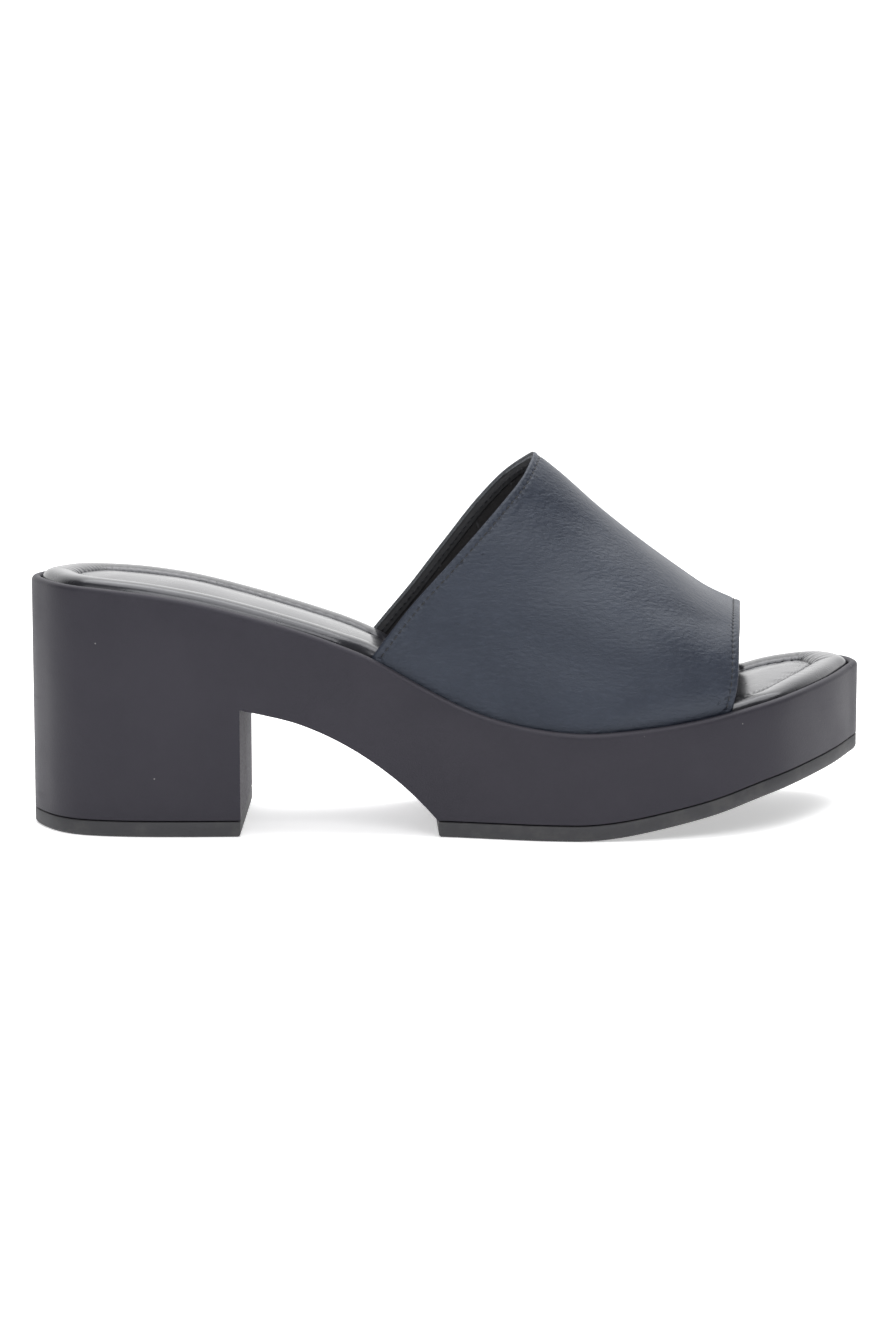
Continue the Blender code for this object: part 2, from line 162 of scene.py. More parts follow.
@dataclass(frozen=True)
class SoleForm:
    """Outline and heights of the sole; tables hold shares of the named sizes."""

    length: float = 0.247
    ball_width: float = 0.0883
    heel_height: float = 0.0736
    platform_height: float = 0.0314
    toe_height: float = 0.0440
    toe_spring: float = 0.0170
    heel_length: float = 0.0612
    breast_reach: float = 0.0024
    arch_height: float = 0.0372
    forefoot_start: float = 0.1185
    tray_depth: float = 0.0070
    heel_tip: float = -0.054
    toe_tip: float = 0.177
    outline: tuple = (
        (0.020, 0.212, 0.104), (0.050, 0.307, 0.201), (0.090, 0.350, 0.244), (0.150, 0.371, 0.265),
        (0.250, 0.375, 0.273), (0.350, 0.369, 0.264), (0.420, 0.373, 0.281), (0.480, 0.398, 0.333),
        (0.540, 0.441, 0.405), (0.600, 0.483, 0.466), (0.660, 0.500, 0.496), (0.720, 0.490, 0.500),
        (0.780, 0.459, 0.497), (0.830, 0.417, 0.492), (0.880, 0.339, 0.485), (0.920, 0.222, 0.474),
        (0.960, 0.064, 0.442), (0.985, -0.068, 0.370),
    )
    rim_to_heel: tuple = (
        (0.000, 1.000), (0.050, 0.984), (0.100, 0.962), (0.180, 0.898), (0.260, 0.784),
        (0.320, 0.675), (0.365, 0.578), (0.402, 0.486), (0.436, 0.375), (0.470, 0.267),
        (0.505, 0.168), (0.540, 0.094), (0.575, 0.044), (0.610, 0.014), (0.650, 0.000), (1.000, 0.000),
    )
    rim_to_toe: tuple = (
        (0.000, 0.000), (0.650, 0.000), (0.700, 0.055), (0.770, 0.210), (0.830, 0.425),
        (0.880, 0.610), (0.930, 0.770), (0.970, 0.890), (1.000, 1.000),
    )
    spring: tuple = (
        (0.000, 0.00), (0.640, 0.00), (0.685, 0.05), (0.740, 0.19), (0.800, 0.38),
        (0.865, 0.65), (0.920, 0.81), (0.970, 0.93), (1.000, 1.00),
    )
    arch: tuple = (
        (0.00, 1.00), (0.10, 0.968), (0.30, 0.885), (0.54, 0.711), (0.78, 0.455),
        (0.92, 0.258), (1.00, 0.125),
    )

    def rim(self, x: Array | float) -> Array:
        """Height of the rim, x measured from the heel's back."""
        place = np.asarray(x) / self.length
        heel = Curve(self.rim_to_heel)(place) * (self.heel_height - self.platform_height)
        toe = Curve(self.rim_to_toe)(place) * (self.toe_height - self.platform_height)
        return self.platform_height + heel + toe

    def floor(self, x: Array | float) -> Array:
        """Height of the treads' underside."""
        return Curve(self.spring)(np.asarray(x) / self.length) * self.toe_spring

    def arch_line(self, x: Array | float) -> Array:
        """Height of the arch's underside."""
        share = (np.asarray(x) - self.heel_length) / (self.forefoot_start - self.heel_length)
        return Curve(self.arch)(share) * self.arch_height

    def curve(self, samples: int = 24) -> Array:
        """Closed outline from the heel's tip along the outer side.

        Args:
            samples: points on each span.

        Returns:
            Rows of x and y.
        """
        outer = [(along, -lateral) for along, lateral, _ in self.outline]
        inner = [(along, medial) for along, _, medial in reversed(self.outline)]
        shares = [(0.0, self.heel_tip), *outer, (1.0, self.toe_tip), *inner]
        points = np.array(shares) * np.array([self.length, self.ball_width])
        before, after = np.roll(points, 1, axis=0), np.roll(points, -1, axis=0)
        beyond = np.roll(points, -2, axis=0)
        t = np.linspace(0.0, 1.0, samples, endpoint=False)[None, :, None]
        reach = np.linalg.norm(after - points, axis=1)[:, None]
        leave = (after - before) / np.linalg.norm(after - before, axis=1)[:, None] * reach
        arrive = (beyond - points) / np.linalg.norm(beyond - points, axis=1)[:, None] * reach
        spans = bend(t, points[:, None], after[:, None], leave[:, None], arrive[:, None])
        return spans.reshape(-1, 2)

    def sides(self, inset: Inset) -> tuple[Array, Array]:
        """Outer and inner side of the outline, drawn inwards.

        Args:
            inset: how far, one number or a function of x.

        Returns:
            The two sides, each from heel to toe, as rows of x and y.
        """
        curve = drawn_in(self.curve(), inset)
        curve = np.roll(curve, -int(np.argmin(curve[:, 0])), axis=0)
        front = int(np.argmax(curve[:, 0]))
        return curve[: front + 1], np.concatenate((curve[front:], curve[:1]))[::-1]

    def ring(self, inset: Inset, count: int) -> Array:
        """Ring of evenly spaced points round the outline, drawn inwards.

        Args:
            inset: how far, one number or a function of x.
            count: number of points.

        Returns:
            Rows of x and y, from the heel's tip along the outer side.
        """
        curve = self.curve(60)
        steps = np.linalg.norm(np.roll(curve, -1, axis=0) - curve, axis=1)
        run = np.concatenate(([0.0], np.cumsum(steps)))
        closed = np.concatenate((curve, curve[:1]))
        places = np.linspace(0.0, run[-1], count, endpoint=False)
        even = np.stack([np.interp(places, run, closed[:, k]) for k in (0, 1)], axis=1)
        return drawn_in(even, inset)

    def paired_ring(self, inset: float, stations: int) -> Array:
        """Ring whose points face each other across the shoe.

        Args:
            inset: how far it is drawn inwards.
            stations: number of steps from heel to toe.

        Returns:
            Rows of x and y: heel tip, outer side, toe tip, inner side.
        """
        outer, inner = self.sides(inset)
        x = mix(outer[0, 0], outer[-1, 0], crowded(stations))
        there = np.stack([x, read_side(outer, x)], axis=1)
        back = np.stack([x, read_side(inner, x)], axis=1)[1:-1][::-1]
        return np.concatenate((there, back))

    def end_ring(self, inset: float, cuts: tuple[float, float], heel: bool, stations: int) -> Array:
        """Ring round one end of the outline, closed by a cut across the shoe.

        Args:
            inset: how far it is drawn inwards, from the outline and the cut.
            cuts: place of the cut on the outer and the inner side.
            heel: True for the heel's end.
            stations: number of steps from the tip to the cut.

        Returns:
            Rows of x and y, with the points facing each other.
        """
        outer, inner = self.sides(inset)
        tip = outer[0, 0] if heel else outer[-1, 0]
        draw = -inset if heel else inset
        share = 1.0 - np.cos(np.linspace(0.0, math.pi / 2.0, stations + 1))
        outer_x, inner_x = mix(tip, cuts[0] + draw, share), mix(tip, cuts[1] + draw, share)
        there = np.stack([outer_x, read_side(outer, outer_x)], axis=1)
        back = np.stack([inner_x, read_side(inner, inner_x)], axis=1)[1:][::-1]
        return np.concatenate((there, back))


def drawn_in(outline: Array, inset: Inset) -> Array:
    """Draws a closed outline inwards, by one distance or a function of x."""
    ahead = np.roll(outline, -1, axis=0) - np.roll(outline, 1, axis=0)
    ahead /= np.linalg.norm(ahead, axis=1)[:, None]
    inward = np.stack([-ahead[:, 1], ahead[:, 0]], axis=1)
    depth = inset(outline[:, 0]) if callable(inset) else np.full(len(outline), inset)
    return outline + inward * depth[:, None]


def read_side(side: Array, x: Array | float) -> Array:
    """Reads one side of an outline at places along the shoe."""
    return np.interp(x, np.maximum.accumulate(side[:, 0]), side[:, 1])


@dataclass(frozen=True)
class InsoleForm:
    """Space between rim, strap and insole, and the section of the padded roll."""

    sole: SoleForm = SoleForm()
    rim_width: float = 0.0026
    clearance: float = 0.0003
    wall: float = 0.0020
    strap_back: float = 0.0992
    strap_front: float = 0.2125
    roll_width: float = 0.0105
    roll_rise: float = 0.0022
    roll_gap: float = 0.0004
    roll_lead: float = 0.0080
    seam_level: float = 0.83
    crest: tuple = (
        (0.00, 1.00), (0.28, 1.00), (0.41, 1.45), (0.55, 1.00), (0.78, 0.65),
        (0.86, 0.70), (0.92, 1.00), (1.00, 1.00),
    )

    def outer_inset(self, x: Array) -> Array:
        """Outline to the roll's outer side: it draws in beside the strap's margins."""
        lead = self.roll_lead / 1.25
        back = ease((x - (self.strap_back - self.clearance - self.roll_lead)) / lead)
        front = ease((self.strap_front + self.clearance + self.roll_lead - x) / lead)
        beside_strap = self.rim_width + self.wall + 2.0 * self.clearance
        return mix(self.rim_width + self.roll_gap, beside_strap, back * front)

    def level(self, x: Array, share: Array | float) -> Array:
        """Height inside the insole, 0 at its underside and 1 at the roll's crest."""
        top = self.sole.rim(x) + self.roll_rise * Curve(self.crest)(x / self.sole.length)
        return mix(self.sole.rim(x) - self.sole.tray_depth + self.clearance, top, share)


@dataclass(frozen=True)
class StrapForm:
    """Outer surface of the broad strap, by place along it and angle over the foot."""

    sole: SoleForm = SoleForm()
    margin: float = 0.0029
    tuck: float = 0.0055
    instep: float = 0.1090
    back: float = 0.0992
    front: float = 0.2035
    front_reach: float = 0.0090
    back_lean: float = 0.0485
    front_lean: float = 0.0022
    front_rise: float = 0.0243
    ridge_shift: float = 0.0030
    top_line: tuple = (
        (0.000, 0.000), (0.123, 0.132), (0.314, 0.360), (0.504, 0.564), (0.696, 0.755),
        (0.838, 0.889), (1.000, 1.000),
    )
    back_outer: tuple = (
        (0.00, 0.000), (0.25, 0.228), (0.50, 0.500), (0.75, 0.772), (0.88, 0.908), (1.00, 1.000),
    )
    back_inner: tuple = (
        (0.00, 0.000), (0.25, 0.243), (0.50, 0.466), (0.75, 0.690), (0.88, 0.830), (1.00, 1.000),
    )
    front_both: tuple = (
        (0.00, 0.000), (0.15, 0.420), (0.30, 0.680), (0.50, 0.840), (0.80, 0.920), (1.00, 1.000),
    )
    squareness: tuple = ((0.0, 2.10), (0.5, 2.25), (1.0, 2.55))

    def surface(self, along: Array, angles: Array, tuck_rows: int) -> Array:
        """Points of the outer surface.

        Args:
            along: places from the back edge, 0, to the front edge, 1.
            angles: angles over the foot, from 0 on the outer side to pi.
            tuck_rows: steps down inside the rim at either margin.

        Returns:
            An array by place, angle and coordinate, x from the heel's back.
        """
        outer, inner = self.sole.sides(self.margin)
        a = np.asarray(along)[:, None]
        power = 2.0 / Curve(self.squareness)(a)
        cosine, sine = np.cos(angles)[None, :], np.clip(np.sin(angles), 0.0, 1.0)[None, :]
        across = (1.0 - np.sign(cosine) * np.abs(cosine) ** power) / 2.0
        rise = sine**power
        outer_x = mix(self.back, self.front, a)
        inner_x = mix(self.back, self.front + self.front_reach, a)
        side_x = mix(outer_x, inner_x, across)
        back = np.where(across < 0.5, Curve(self.back_outer)(rise), Curve(self.back_inner)(rise))
        lean = mix(self.back_lean, self.front_lean, a) * mix(back, Curve(self.front_both)(rise), a)
        y = mix(read_side(outer, outer_x), read_side(inner, inner_x), across)
        y = y + self.ridge_shift * rise**2
        front_x = self.front + self.front_reach / 2.0 + self.front_lean
        top = mix(self.instep, self.sole.rim(front_x) + self.front_rise, Curve(self.top_line)(a))
        points = np.stack([side_x + lean, y, mix(self.sole.rim(side_x), top, rise)], axis=2)
        drops = np.linspace(1.0, 0.0, tuck_rows, endpoint=False) * self.tuck
        down = np.array([0.0, 0.0, 1.0])
        first = points[:, :1] - drops[None, :, None] * down
        last = points[:, -1:] - drops[None, ::-1, None] * down
        return np.concatenate((first, points, last), axis=1)


# Mesh helpers

def grid_mesh(points: Array, closed_round: bool = False, closed_across: bool = False) -> bmesh.types.BMesh:
    """Lays a grid of faces over an array of points.

    Args:
        points: an array by row, column and coordinate.
        closed_round: joins the last column to the first.
        closed_across: joins the last row to the first.

    Returns:
        The new bmesh, with a UV map of shares.
    """
    rows, columns = points.shape[:2]
    x_steps = columns if closed_round else columns - 1
    y_steps = rows if closed_across else rows - 1
    bm = bmesh.new()
    bm.loops.layers.uv.new("UVMap")
    bmesh.ops.create_grid(bm, x_segments=x_steps, y_segments=y_steps, size=0.5, calc_uvs=True)
    for vert in bm.verts:
        column = round((vert.co.x + 0.5) * x_steps) % columns
        row = round((vert.co.y + 0.5) * y_steps) % rows
        vert.co = points[row, column]
    bmesh.ops.remove_doubles(bm, verts=bm.verts[:], dist=1e-7)
    return bm


def linked(name: str, bm: bmesh.types.BMesh) -> Piece:
    """Turns a bmesh into a smooth object of the scene."""
    mesh = bpy.data.meshes.new(name)
    bm.to_mesh(mesh)
    bm.free()
    mesh.shade_smooth()
    piece = bpy.data.objects.new(name, mesh)
    bpy.context.scene.collection.objects.link(piece)
    return piece


def finished(name: str, bm: bmesh.types.BMesh, sole: SoleForm) -> Piece:
    """Turns a closed bmesh into a smooth object in the frame of the solids.

    Args:
        name: name of the piece.
        bm: its mesh, x measured from the heel's back.
        sole: gives the shoe's length.

    Returns:
        The object, linked to the scene.
    """
    bmesh.ops.translate(bm, verts=bm.verts[:], vec=(-sole.length / 2.0, 0.0, 0.0))
    bmesh.ops.recalc_face_normals(bm, faces=bm.faces[:])
    return linked(name, bm)


def lofted(name: str, rings: Array, sole: SoleForm) -> Piece:
    """Closed piece through rings of points that face each other."""
    bm = grid_mesh(rings, closed_round=True)
    close_pairs(bm, rings[0])
    close_pairs(bm, rings[-1])
    return finished(name, bm, sole)


def dress(piece: Piece, *materials: bpy.types.Material) -> None:
    """Gives a piece its materials, in the order of their slots."""
    for material in materials:
        piece.data.materials.append(material)


def keep_numbers(piece: Piece, points: Array, numbers: dict, spare: int = 0) -> None:
    """Keeps numbers at the points of a piece that was made from a grid.

    Args:
        piece: the piece.
        points: the grid's points, in the frame of the solids.
        numbers: for each name, the values by row and column.
        spare: index of the value for a point that is not found, -1 for zero.
    """
    rows = {tuple(np.round(place, 6)): index for index, place in enumerate(points.reshape(-1, 3))}
    mesh = piece.data
    found = [rows.get(tuple(np.round(np.array(vert.co, float), 6)), spare) for vert in mesh.vertices]
    for name, values in numbers.items():
        kept = np.append(values, 0.0)[found].astype(np.float32)
        mesh.attributes.new(name, "FLOAT", "POINT").data.foreach_set("value", kept)


def close_pairs(bm: bmesh.types.BMesh, places: Array) -> None:
    """Closes a ring of facing points by strips across the shoe.

    Args:
        bm: the mesh that holds the ring.
        places: the ring's points in order, as the mesh has them.
    """
    lookup = {tuple(np.round(np.array(vert.co), 7)): vert for vert in bm.verts}
    ring = [lookup[tuple(np.round(np.float32(place).astype(float), 7))] for place in places]
    count = len(ring)
    for index in range(count // 2):
        strip = [ring[index], ring[index + 1], ring[-index - 1], ring[-index % count]]
        corners = list(dict.fromkeys(strip))
        if len(corners) > 2:
            bm.faces.new(corners)


def with_heights(ring: Array, height: Callable[[Array], Array]) -> Array:
    """Gives each point of a flat ring its height."""
    return np.column_stack((ring, height(ring[:, 0])))


def bake_modifiers(piece: Piece) -> None:
    """Applies all of a piece's modifiers to its mesh."""
    graph = bpy.context.evaluated_depsgraph_get()
    mesh = bpy.data.meshes.new_from_object(piece.evaluated_get(graph))
    piece.modifiers.clear()
    old = piece.data
    piece.data = mesh
    bpy.data.meshes.remove(old)
    mesh.name = piece.name


def add_subdivision(piece: Piece, levels: int) -> None:
    """Adds a subdivision surface with the same levels in view and render."""
    modifier = piece.modifiers.new("smooth", "SUBSURF")
    modifier.levels = levels
    modifier.render_levels = levels


def lay_on(piece: Piece, nodes: Sequence[str] = ()) -> None:
    """Makes a piece ride on the shoe and stand for the solids that it hides."""
    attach(piece, BODY)
    if nodes:
        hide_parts(*nodes)
    LOG.info("%s: %d faces", piece.name, len(piece.data.polygons))


# Shader helpers

class Wire:
    """A shader value that takes part in plain arithmetic."""

    def __init__(self, paint: "Paint", socket: Socket) -> None:
        """Wraps an output socket."""
        self.paint = paint
        self.socket = socket

    def maths(self, operation: str, first: "Wire | float", second: "Wire | float" = 0.0) -> "Wire":
        """Adds a Math node and returns its value."""
        node = self.paint.node("ShaderNodeMath", {"operation": operation}, {0: first, 1: second})
        return Wire(self.paint, node.outputs[0])

    def __add__(self, other: "Wire | float") -> "Wire":
        """Sum."""
        return self.maths("ADD", self, other)

    __radd__ = __add__

    def __mul__(self, other: "Wire | float") -> "Wire":
        """Product."""
        return self.maths("MULTIPLY", self, other)

    __rmul__ = __mul__

    def __sub__(self, other: "Wire | float") -> "Wire":
        """Difference."""
        return self.maths("SUBTRACT", self, other)

    def __rsub__(self, other: "Wire | float") -> "Wire":
        """Difference from a number."""
        return self.maths("SUBTRACT", other, self)

    def __abs__(self) -> "Wire":
        """Size without its sign."""
        return self.maths("ABSOLUTE", self)

    def sine(self) -> "Wire":
        """Sine of the value in radians."""
        return self.maths("SINE", self)

    def ramp(self, low: float, high: float) -> "Wire":
        """Soft step from 0 at low to 1 at high."""
        settings = {"interpolation_type": "SMOOTHSTEP"}
        sockets = {"Value": self, "From Min": low, "From Max": high, "To Min": 0.0, "To Max": 1.0}
        node = self.paint.node("ShaderNodeMapRange", settings, sockets)
        return Wire(self.paint, node.outputs["Result"])


class Paint:
    """A material under construction."""

    def __init__(self, name: str) -> None:
        """Starts a material with only its shader and output."""
        self.material = bpy.data.materials.new(name)
        self.material.use_nodes = True
        self.tree = self.material.node_tree
        self.tree.nodes.clear()
        self.shader = self.node("ShaderNodeBsdfPrincipled", {}, {})
        self.node("ShaderNodeOutputMaterial", {}, {"Surface": self.shader.outputs[0]})

    def node(self, kind: str, settings: dict, sockets: dict) -> bpy.types.Node:
        """Adds any node.

        Args:
            kind: type of the node.
            settings: its own settings, set before its sockets.
            sockets: a value or a link for each socket, by name or number.

        Returns:
            The new node.
        """
        node = self.tree.nodes.new(kind)
        for name, value in settings.items():
            setattr(node, name, value)
        self.connect(node, sockets)
        return node

    def connect(self, node: bpy.types.Node, sockets: dict) -> None:
        """Gives each named socket of a node its value or its link."""
        for key, value in sockets.items():
            if isinstance(value, Wire):
                value = value.socket
            if isinstance(value, Socket):
                self.tree.links.new(value, node.inputs[key])
            else:
                node.inputs[key].default_value = value

    def millimetres(self, stretch: Colour = (1.0, 1.0, 1.0)) -> Socket:
        """Object coordinates in millimetres, each axis stretched by a share."""
        place = self.node("ShaderNodeTexCoord", {}, {}).outputs["Object"]
        scale = tuple(1000.0 * share for share in stretch)
        return self.node("ShaderNodeMapping", {}, {"Vector": place, "Scale": scale}).outputs[0]

    def attribute(self, name: str) -> Wire:
        """A number kept at each point of the mesh, in millimetres."""
        node = self.node("ShaderNodeAttribute", {"attribute_type": "GEOMETRY", "attribute_name": name}, {})
        return Wire(self, node.outputs["Fac"]) * 1000.0

    def noise(self, place: Socket, scale: float, detail: float = 3.0, rough: float = 0.5) -> Wire:
        """Soft noise around 0.5."""
        sockets = {"Vector": place, "Scale": scale, "Detail": detail, "Roughness": rough}
        return Wire(self, self.node("ShaderNodeTexNoise", {}, sockets).outputs["Fac"])

    def cells(self, place: Socket, scale: float, feature: str = "SMOOTH_F1") -> Wire:
        """Rounded cells, 0 in their middles."""
        node = self.node("ShaderNodeTexVoronoi", {"feature": feature}, {"Vector": place, "Scale": scale})
        return Wire(self, node.outputs["Distance"])

    def warped(self, place: Socket, scale: float, amount: float) -> Socket:
        """Coordinates pushed about by a noise, so that cells lose their order."""
        noise = self.node("ShaderNodeTexNoise", {}, {"Vector": place, "Scale": scale, "Detail": 2.0})
        settings = {"operation": "MULTIPLY_ADD"}
        sockets = {0: noise.outputs["Color"], 1: (amount, amount, amount), 2: place}
        return self.node("ShaderNodeVectorMath", settings, sockets).outputs[0]

    def blend(self, share: Wire, first: Colour | Socket, second: Colour) -> Socket:
        """Colour between two others."""
        start = first if isinstance(first, Socket) else (*first, 1.0)
        settings = {"data_type": "RGBA", "clamp_factor": True}
        node = self.node("ShaderNodeMix", settings, {0: share, 6: start, 7: (*second, 1.0)})
        return node.outputs[2]

    def bump(self, height: Wire, depth: float, normal: Socket | None = None) -> Socket:
        """Normal bent by a relief.

        Args:
            height: the relief, from 0 to 1.
            depth: its depth in millimetres.
            normal: a bent normal to start from.

        Returns:
            The normal.
        """
        sockets = {"Strength": 1.0, "Distance": depth * MM, "Height": height}
        if normal is not None:
            sockets["Normal"] = normal
        return self.node("ShaderNodeBump", {}, sockets).outputs[0]

    def finish(self, sockets: dict) -> bpy.types.Material:
        """Sets the shader's sockets and returns the material."""
        self.connect(self.shader, sockets)
        return self.material


# Finishes

@dataclass(frozen=True)
class MouldedFoam:
    """Charcoal foam of the platform and heel, matte with a fine skin."""

    colour: Colour = (0.012, 0.011, 0.016)
    worn: Colour = (0.026, 0.024, 0.031)
    dust: Colour = (0.30, 0.29, 0.28)

    def material(self) -> bpy.types.Material:
        """Builds the finish."""
        paint = Paint("sole_foam")
        place = paint.millimetres()
        cloud = paint.noise(place, 0.055, 3.0).ramp(0.35, 0.70)
        scuffs = paint.noise(paint.millimetres((0.10, 0.10, 1.0)), 0.55, 4.0, 0.6).ramp(0.55, 0.80)
        specks = 1.0 - paint.cells(place, 0.16, "F1").ramp(0.022, 0.050)
        sparse = paint.noise(place, 0.09, 1.0).ramp(0.52, 0.60)
        colour = paint.blend(cloud * 0.35 + scuffs * 0.18, self.colour, self.worn)
        colour = paint.blend(specks * sparse * 0.5, colour, self.dust)
        skin = paint.noise(place, 1.6, 4.0, 0.62)
        pores = paint.cells(place, 2.6)
        normal = paint.bump(skin, 0.050)
        normal = paint.bump(pores, 0.022, normal)
        rough = 0.50 + cloud * 0.07 + scuffs * 0.06 + skin * 0.06
        sockets = {
            "Base Color": colour, "Roughness": rough, "Normal": normal, "IOR": 1.46,
            "Specular Tint": (0.92, 0.90, 1.0, 1.0),
        }
        return paint.finish(sockets)


@dataclass(frozen=True)
class CutFoam:
    """Open foam of the heel's breast and under the arch; its paler colour is painted light from the floor,
    and its darker pits are painted shade.
    """

    # paler than the moulded foam: painted light from the floor on the faces turned to it
    colour: Colour = (0.130, 0.124, 0.138)
    # darker colour of the crumb's hollows: painted shade
    pit_shade: Colour = (0.045, 0.043, 0.050)

    def material(self) -> bpy.types.Material:
        """Builds the finish."""
        paint = Paint("cut_foam_painted_light")
        place = paint.warped(paint.millimetres(), 0.9, 0.7)
        crumb = paint.cells(place, 1.3)
        grain = paint.noise(place, 2.2, 4.0, 0.65)
        # painted shade where the crumb dips between its cells; the grain is real tone
        colour = paint.blend(crumb.ramp(0.25, 0.75) * 0.75 + grain * 0.2, self.colour, self.pit_shade)
        normal = paint.bump(1.0 - crumb, 0.22)
        normal = paint.bump(grain, 0.08, normal)
        return paint.finish({"Base Color": colour, "Roughness": 0.78 + grain * 0.1, "Normal": normal})


class Tread(Enum):
    """Which face of the rubber a finish is for."""

    SIDE = "rubber_side"
    GROUND = "rubber_ground"


@dataclass(frozen=True)
class Rubber:
    """Matte dark rubber, ribbed on the ground side, with painted shade in the grooves between the ribs."""

    face: Tread = Tread.SIDE
    colour: Colour = (0.030, 0.030, 0.034)
    grime: Colour = (0.070, 0.068, 0.066)
    rib_pitch: float = 2.4

    def material(self) -> bpy.types.Material:
        """Builds the finish."""
        paint = Paint(self.face.value)
        place = paint.millimetres()
        cloud = paint.noise(place, 0.12, 4.0, 0.6)
        fine = paint.noise(place, 2.4, 3.0, 0.6)
        colour = paint.blend(cloud.ramp(0.45, 0.75) * 0.5, self.colour, self.grime)
        normal = paint.bump(fine, 0.040)
        if self.face is Tread.GROUND:
            parts = paint.node("ShaderNodeSeparateXYZ", {}, {0: place})
            x, y = Wire(paint, parts.outputs[0]), Wire(paint, parts.outputs[1])
            zigzag = abs((y * (math.pi / 9.0)).sine()) * 2.6
            ribs = ((x + zigzag) * (2.0 * math.pi / self.rib_pitch)).sine().ramp(-0.35, 0.35)
            normal = paint.bump(ribs, 0.9, normal)
            # darker between the ribs: painted shade in the grooves
            colour = paint.blend(1.0 - ribs, colour, (0.012, 0.012, 0.013))
        return paint.finish({"Base Color": colour, "Roughness": 0.58 + cloud * 0.12, "Normal": normal})


@dataclass(frozen=True)
class GlossyLeather:
    """Glossy black leather of the footbed, gathered a little at its seam."""

    name: str = "footbed_leather"
    colour: Colour = (0.010, 0.010, 0.013)
    tired: Colour = (0.020, 0.020, 0.025)

    def material(self) -> bpy.types.Material:
        """Builds the finish."""
        paint = Paint(self.name)
        place = paint.millimetres()
        soft = paint.noise(place, 0.10, 2.0)
        pebbles = paint.cells(paint.warped(place, 0.8, 0.5), 1.15)
        crease = paint.noise(paint.millimetres((0.35, 1.0, 1.0)), 0.8, 4.0, 0.6)
        seam = 1.0 - paint.attribute("seam").ramp(0.4, 3.2)
        gather = (paint.attribute("run") * (2.0 * math.pi / 2.9)).sine() * 0.5 + 0.5
        colour = paint.blend(soft.ramp(0.4, 0.75) * 0.6, self.colour, self.tired)
        normal = paint.bump(pebbles, 0.020)
        normal = paint.bump(crease, 0.045, normal)
        normal = paint.bump(gather * seam, 0.16, normal)
        rough = 0.20 + soft * 0.10 + crease * 0.08
        sockets = {
            "Base Color": colour, "Roughness": rough, "Normal": normal, "IOR": 1.50,
            "Coat Weight": 0.35, "Coat Roughness": 0.16, "Specular Tint": (0.93, 0.94, 1.0, 1.0),
        }
        return paint.finish(sockets)


@dataclass(frozen=True)
class StrapLeather:
    """Smooth blue-black leather with a fine wrinkled grain, its crests lighter as a painted highlight."""

    colour: Colour = (0.013, 0.016, 0.026)
    # lighter colour: painted highlight on the wrinkles' crests, and the real tone of loose patches
    highlight_and_tone: Colour = (0.022, 0.027, 0.042)
    stitch_pitch: float = 2.1
    stitch_inset: float = 2.2

    def material(self) -> bpy.types.Material:
        """Builds the finish."""
        paint = Paint("strap_leather")
        place = paint.millimetres()
        along = paint.millimetres((0.42, 0.9, 1.0))
        pebbles = paint.cells(paint.warped(along, 0.7, 0.9), 0.95)
        fine = paint.noise(place, 2.6, 3.0, 0.6)
        wrinkles = paint.noise(paint.warped(along, 0.25, 1.6), 1.10, 4.0, 0.58)
        loose = paint.noise(place, 0.045, 2.0).ramp(0.38, 0.66)
        edge, run = paint.attribute("edge"), paint.attribute("run")
        line = 1.0 - abs(edge - self.stitch_inset).ramp(0.25, 1.3)
        pinch = abs((run * (math.pi / self.stitch_pitch)).sine()) * line
        # the wrinkles' crests take a painted highlight; the loose patches are real tone
        colour = paint.blend(wrinkles.ramp(0.45, 0.75) * 0.45 + loose * 0.25, self.colour, self.highlight_and_tone)
        normal = paint.bump(pebbles * (0.55 + loose * 0.45), 0.110)
        normal = paint.bump(wrinkles * (0.6 + loose * 0.4), 0.380, normal)
        normal = paint.bump(fine, 0.016, normal)
        normal = paint.bump(pinch, 0.22, normal)
        rough = 0.42 + wrinkles * 0.08 + loose * 0.05
        sockets = {
            "Base Color": colour, "Roughness": rough, "Normal": normal, "IOR": 1.50,
            "Coat Weight": 0.10, "Coat Roughness": 0.35, "Specular Tint": (0.80, 0.88, 1.0, 1.0),
        }
        return paint.finish(sockets)


@dataclass(frozen=True)
class CutEdge:
    """Raw grey edge of the leather, with loose fibres."""

    colour: Colour = (0.070, 0.076, 0.086)
    shade: Colour = (0.020, 0.022, 0.026)

    def material(self) -> bpy.types.Material:
        """Builds the finish."""
        paint = Paint("cut_edge")
        fibres = paint.noise(paint.millimetres(), 1.9, 4.0, 0.7)
        colour = paint.blend(fibres.ramp(0.35, 0.65), self.shade, self.colour)
        return paint.finish({"Base Color": colour, "Roughness": 0.85, "Normal": paint.bump(fibres, 0.25)})


@dataclass(frozen=True)
class Lining:
    """Dull dark lining with a paler band along its edges."""

    colour: Colour = (0.016, 0.015, 0.016)
    band: Colour = (0.045, 0.046, 0.050)
    band_width: float = 3.6

    def material(self) -> bpy.types.Material:
        """Builds the finish."""
        paint = Paint("strap_lining")
        place = paint.millimetres()
        weave = paint.cells(place, 1.9)
        cloud = paint.noise(place, 0.3, 4.0, 0.6)
        near_edge = 1.0 - paint.attribute("edge").ramp(self.band_width - 0.3, self.band_width + 0.3)
        colour = paint.blend(near_edge * (0.5 + cloud * 0.6), self.colour, self.band)
        normal = paint.bump(weave, 0.10)
        normal = paint.bump(near_edge, 0.35, normal)
        return paint.finish({"Base Color": colour, "Roughness": 0.72 + cloud * 0.1, "Normal": normal})


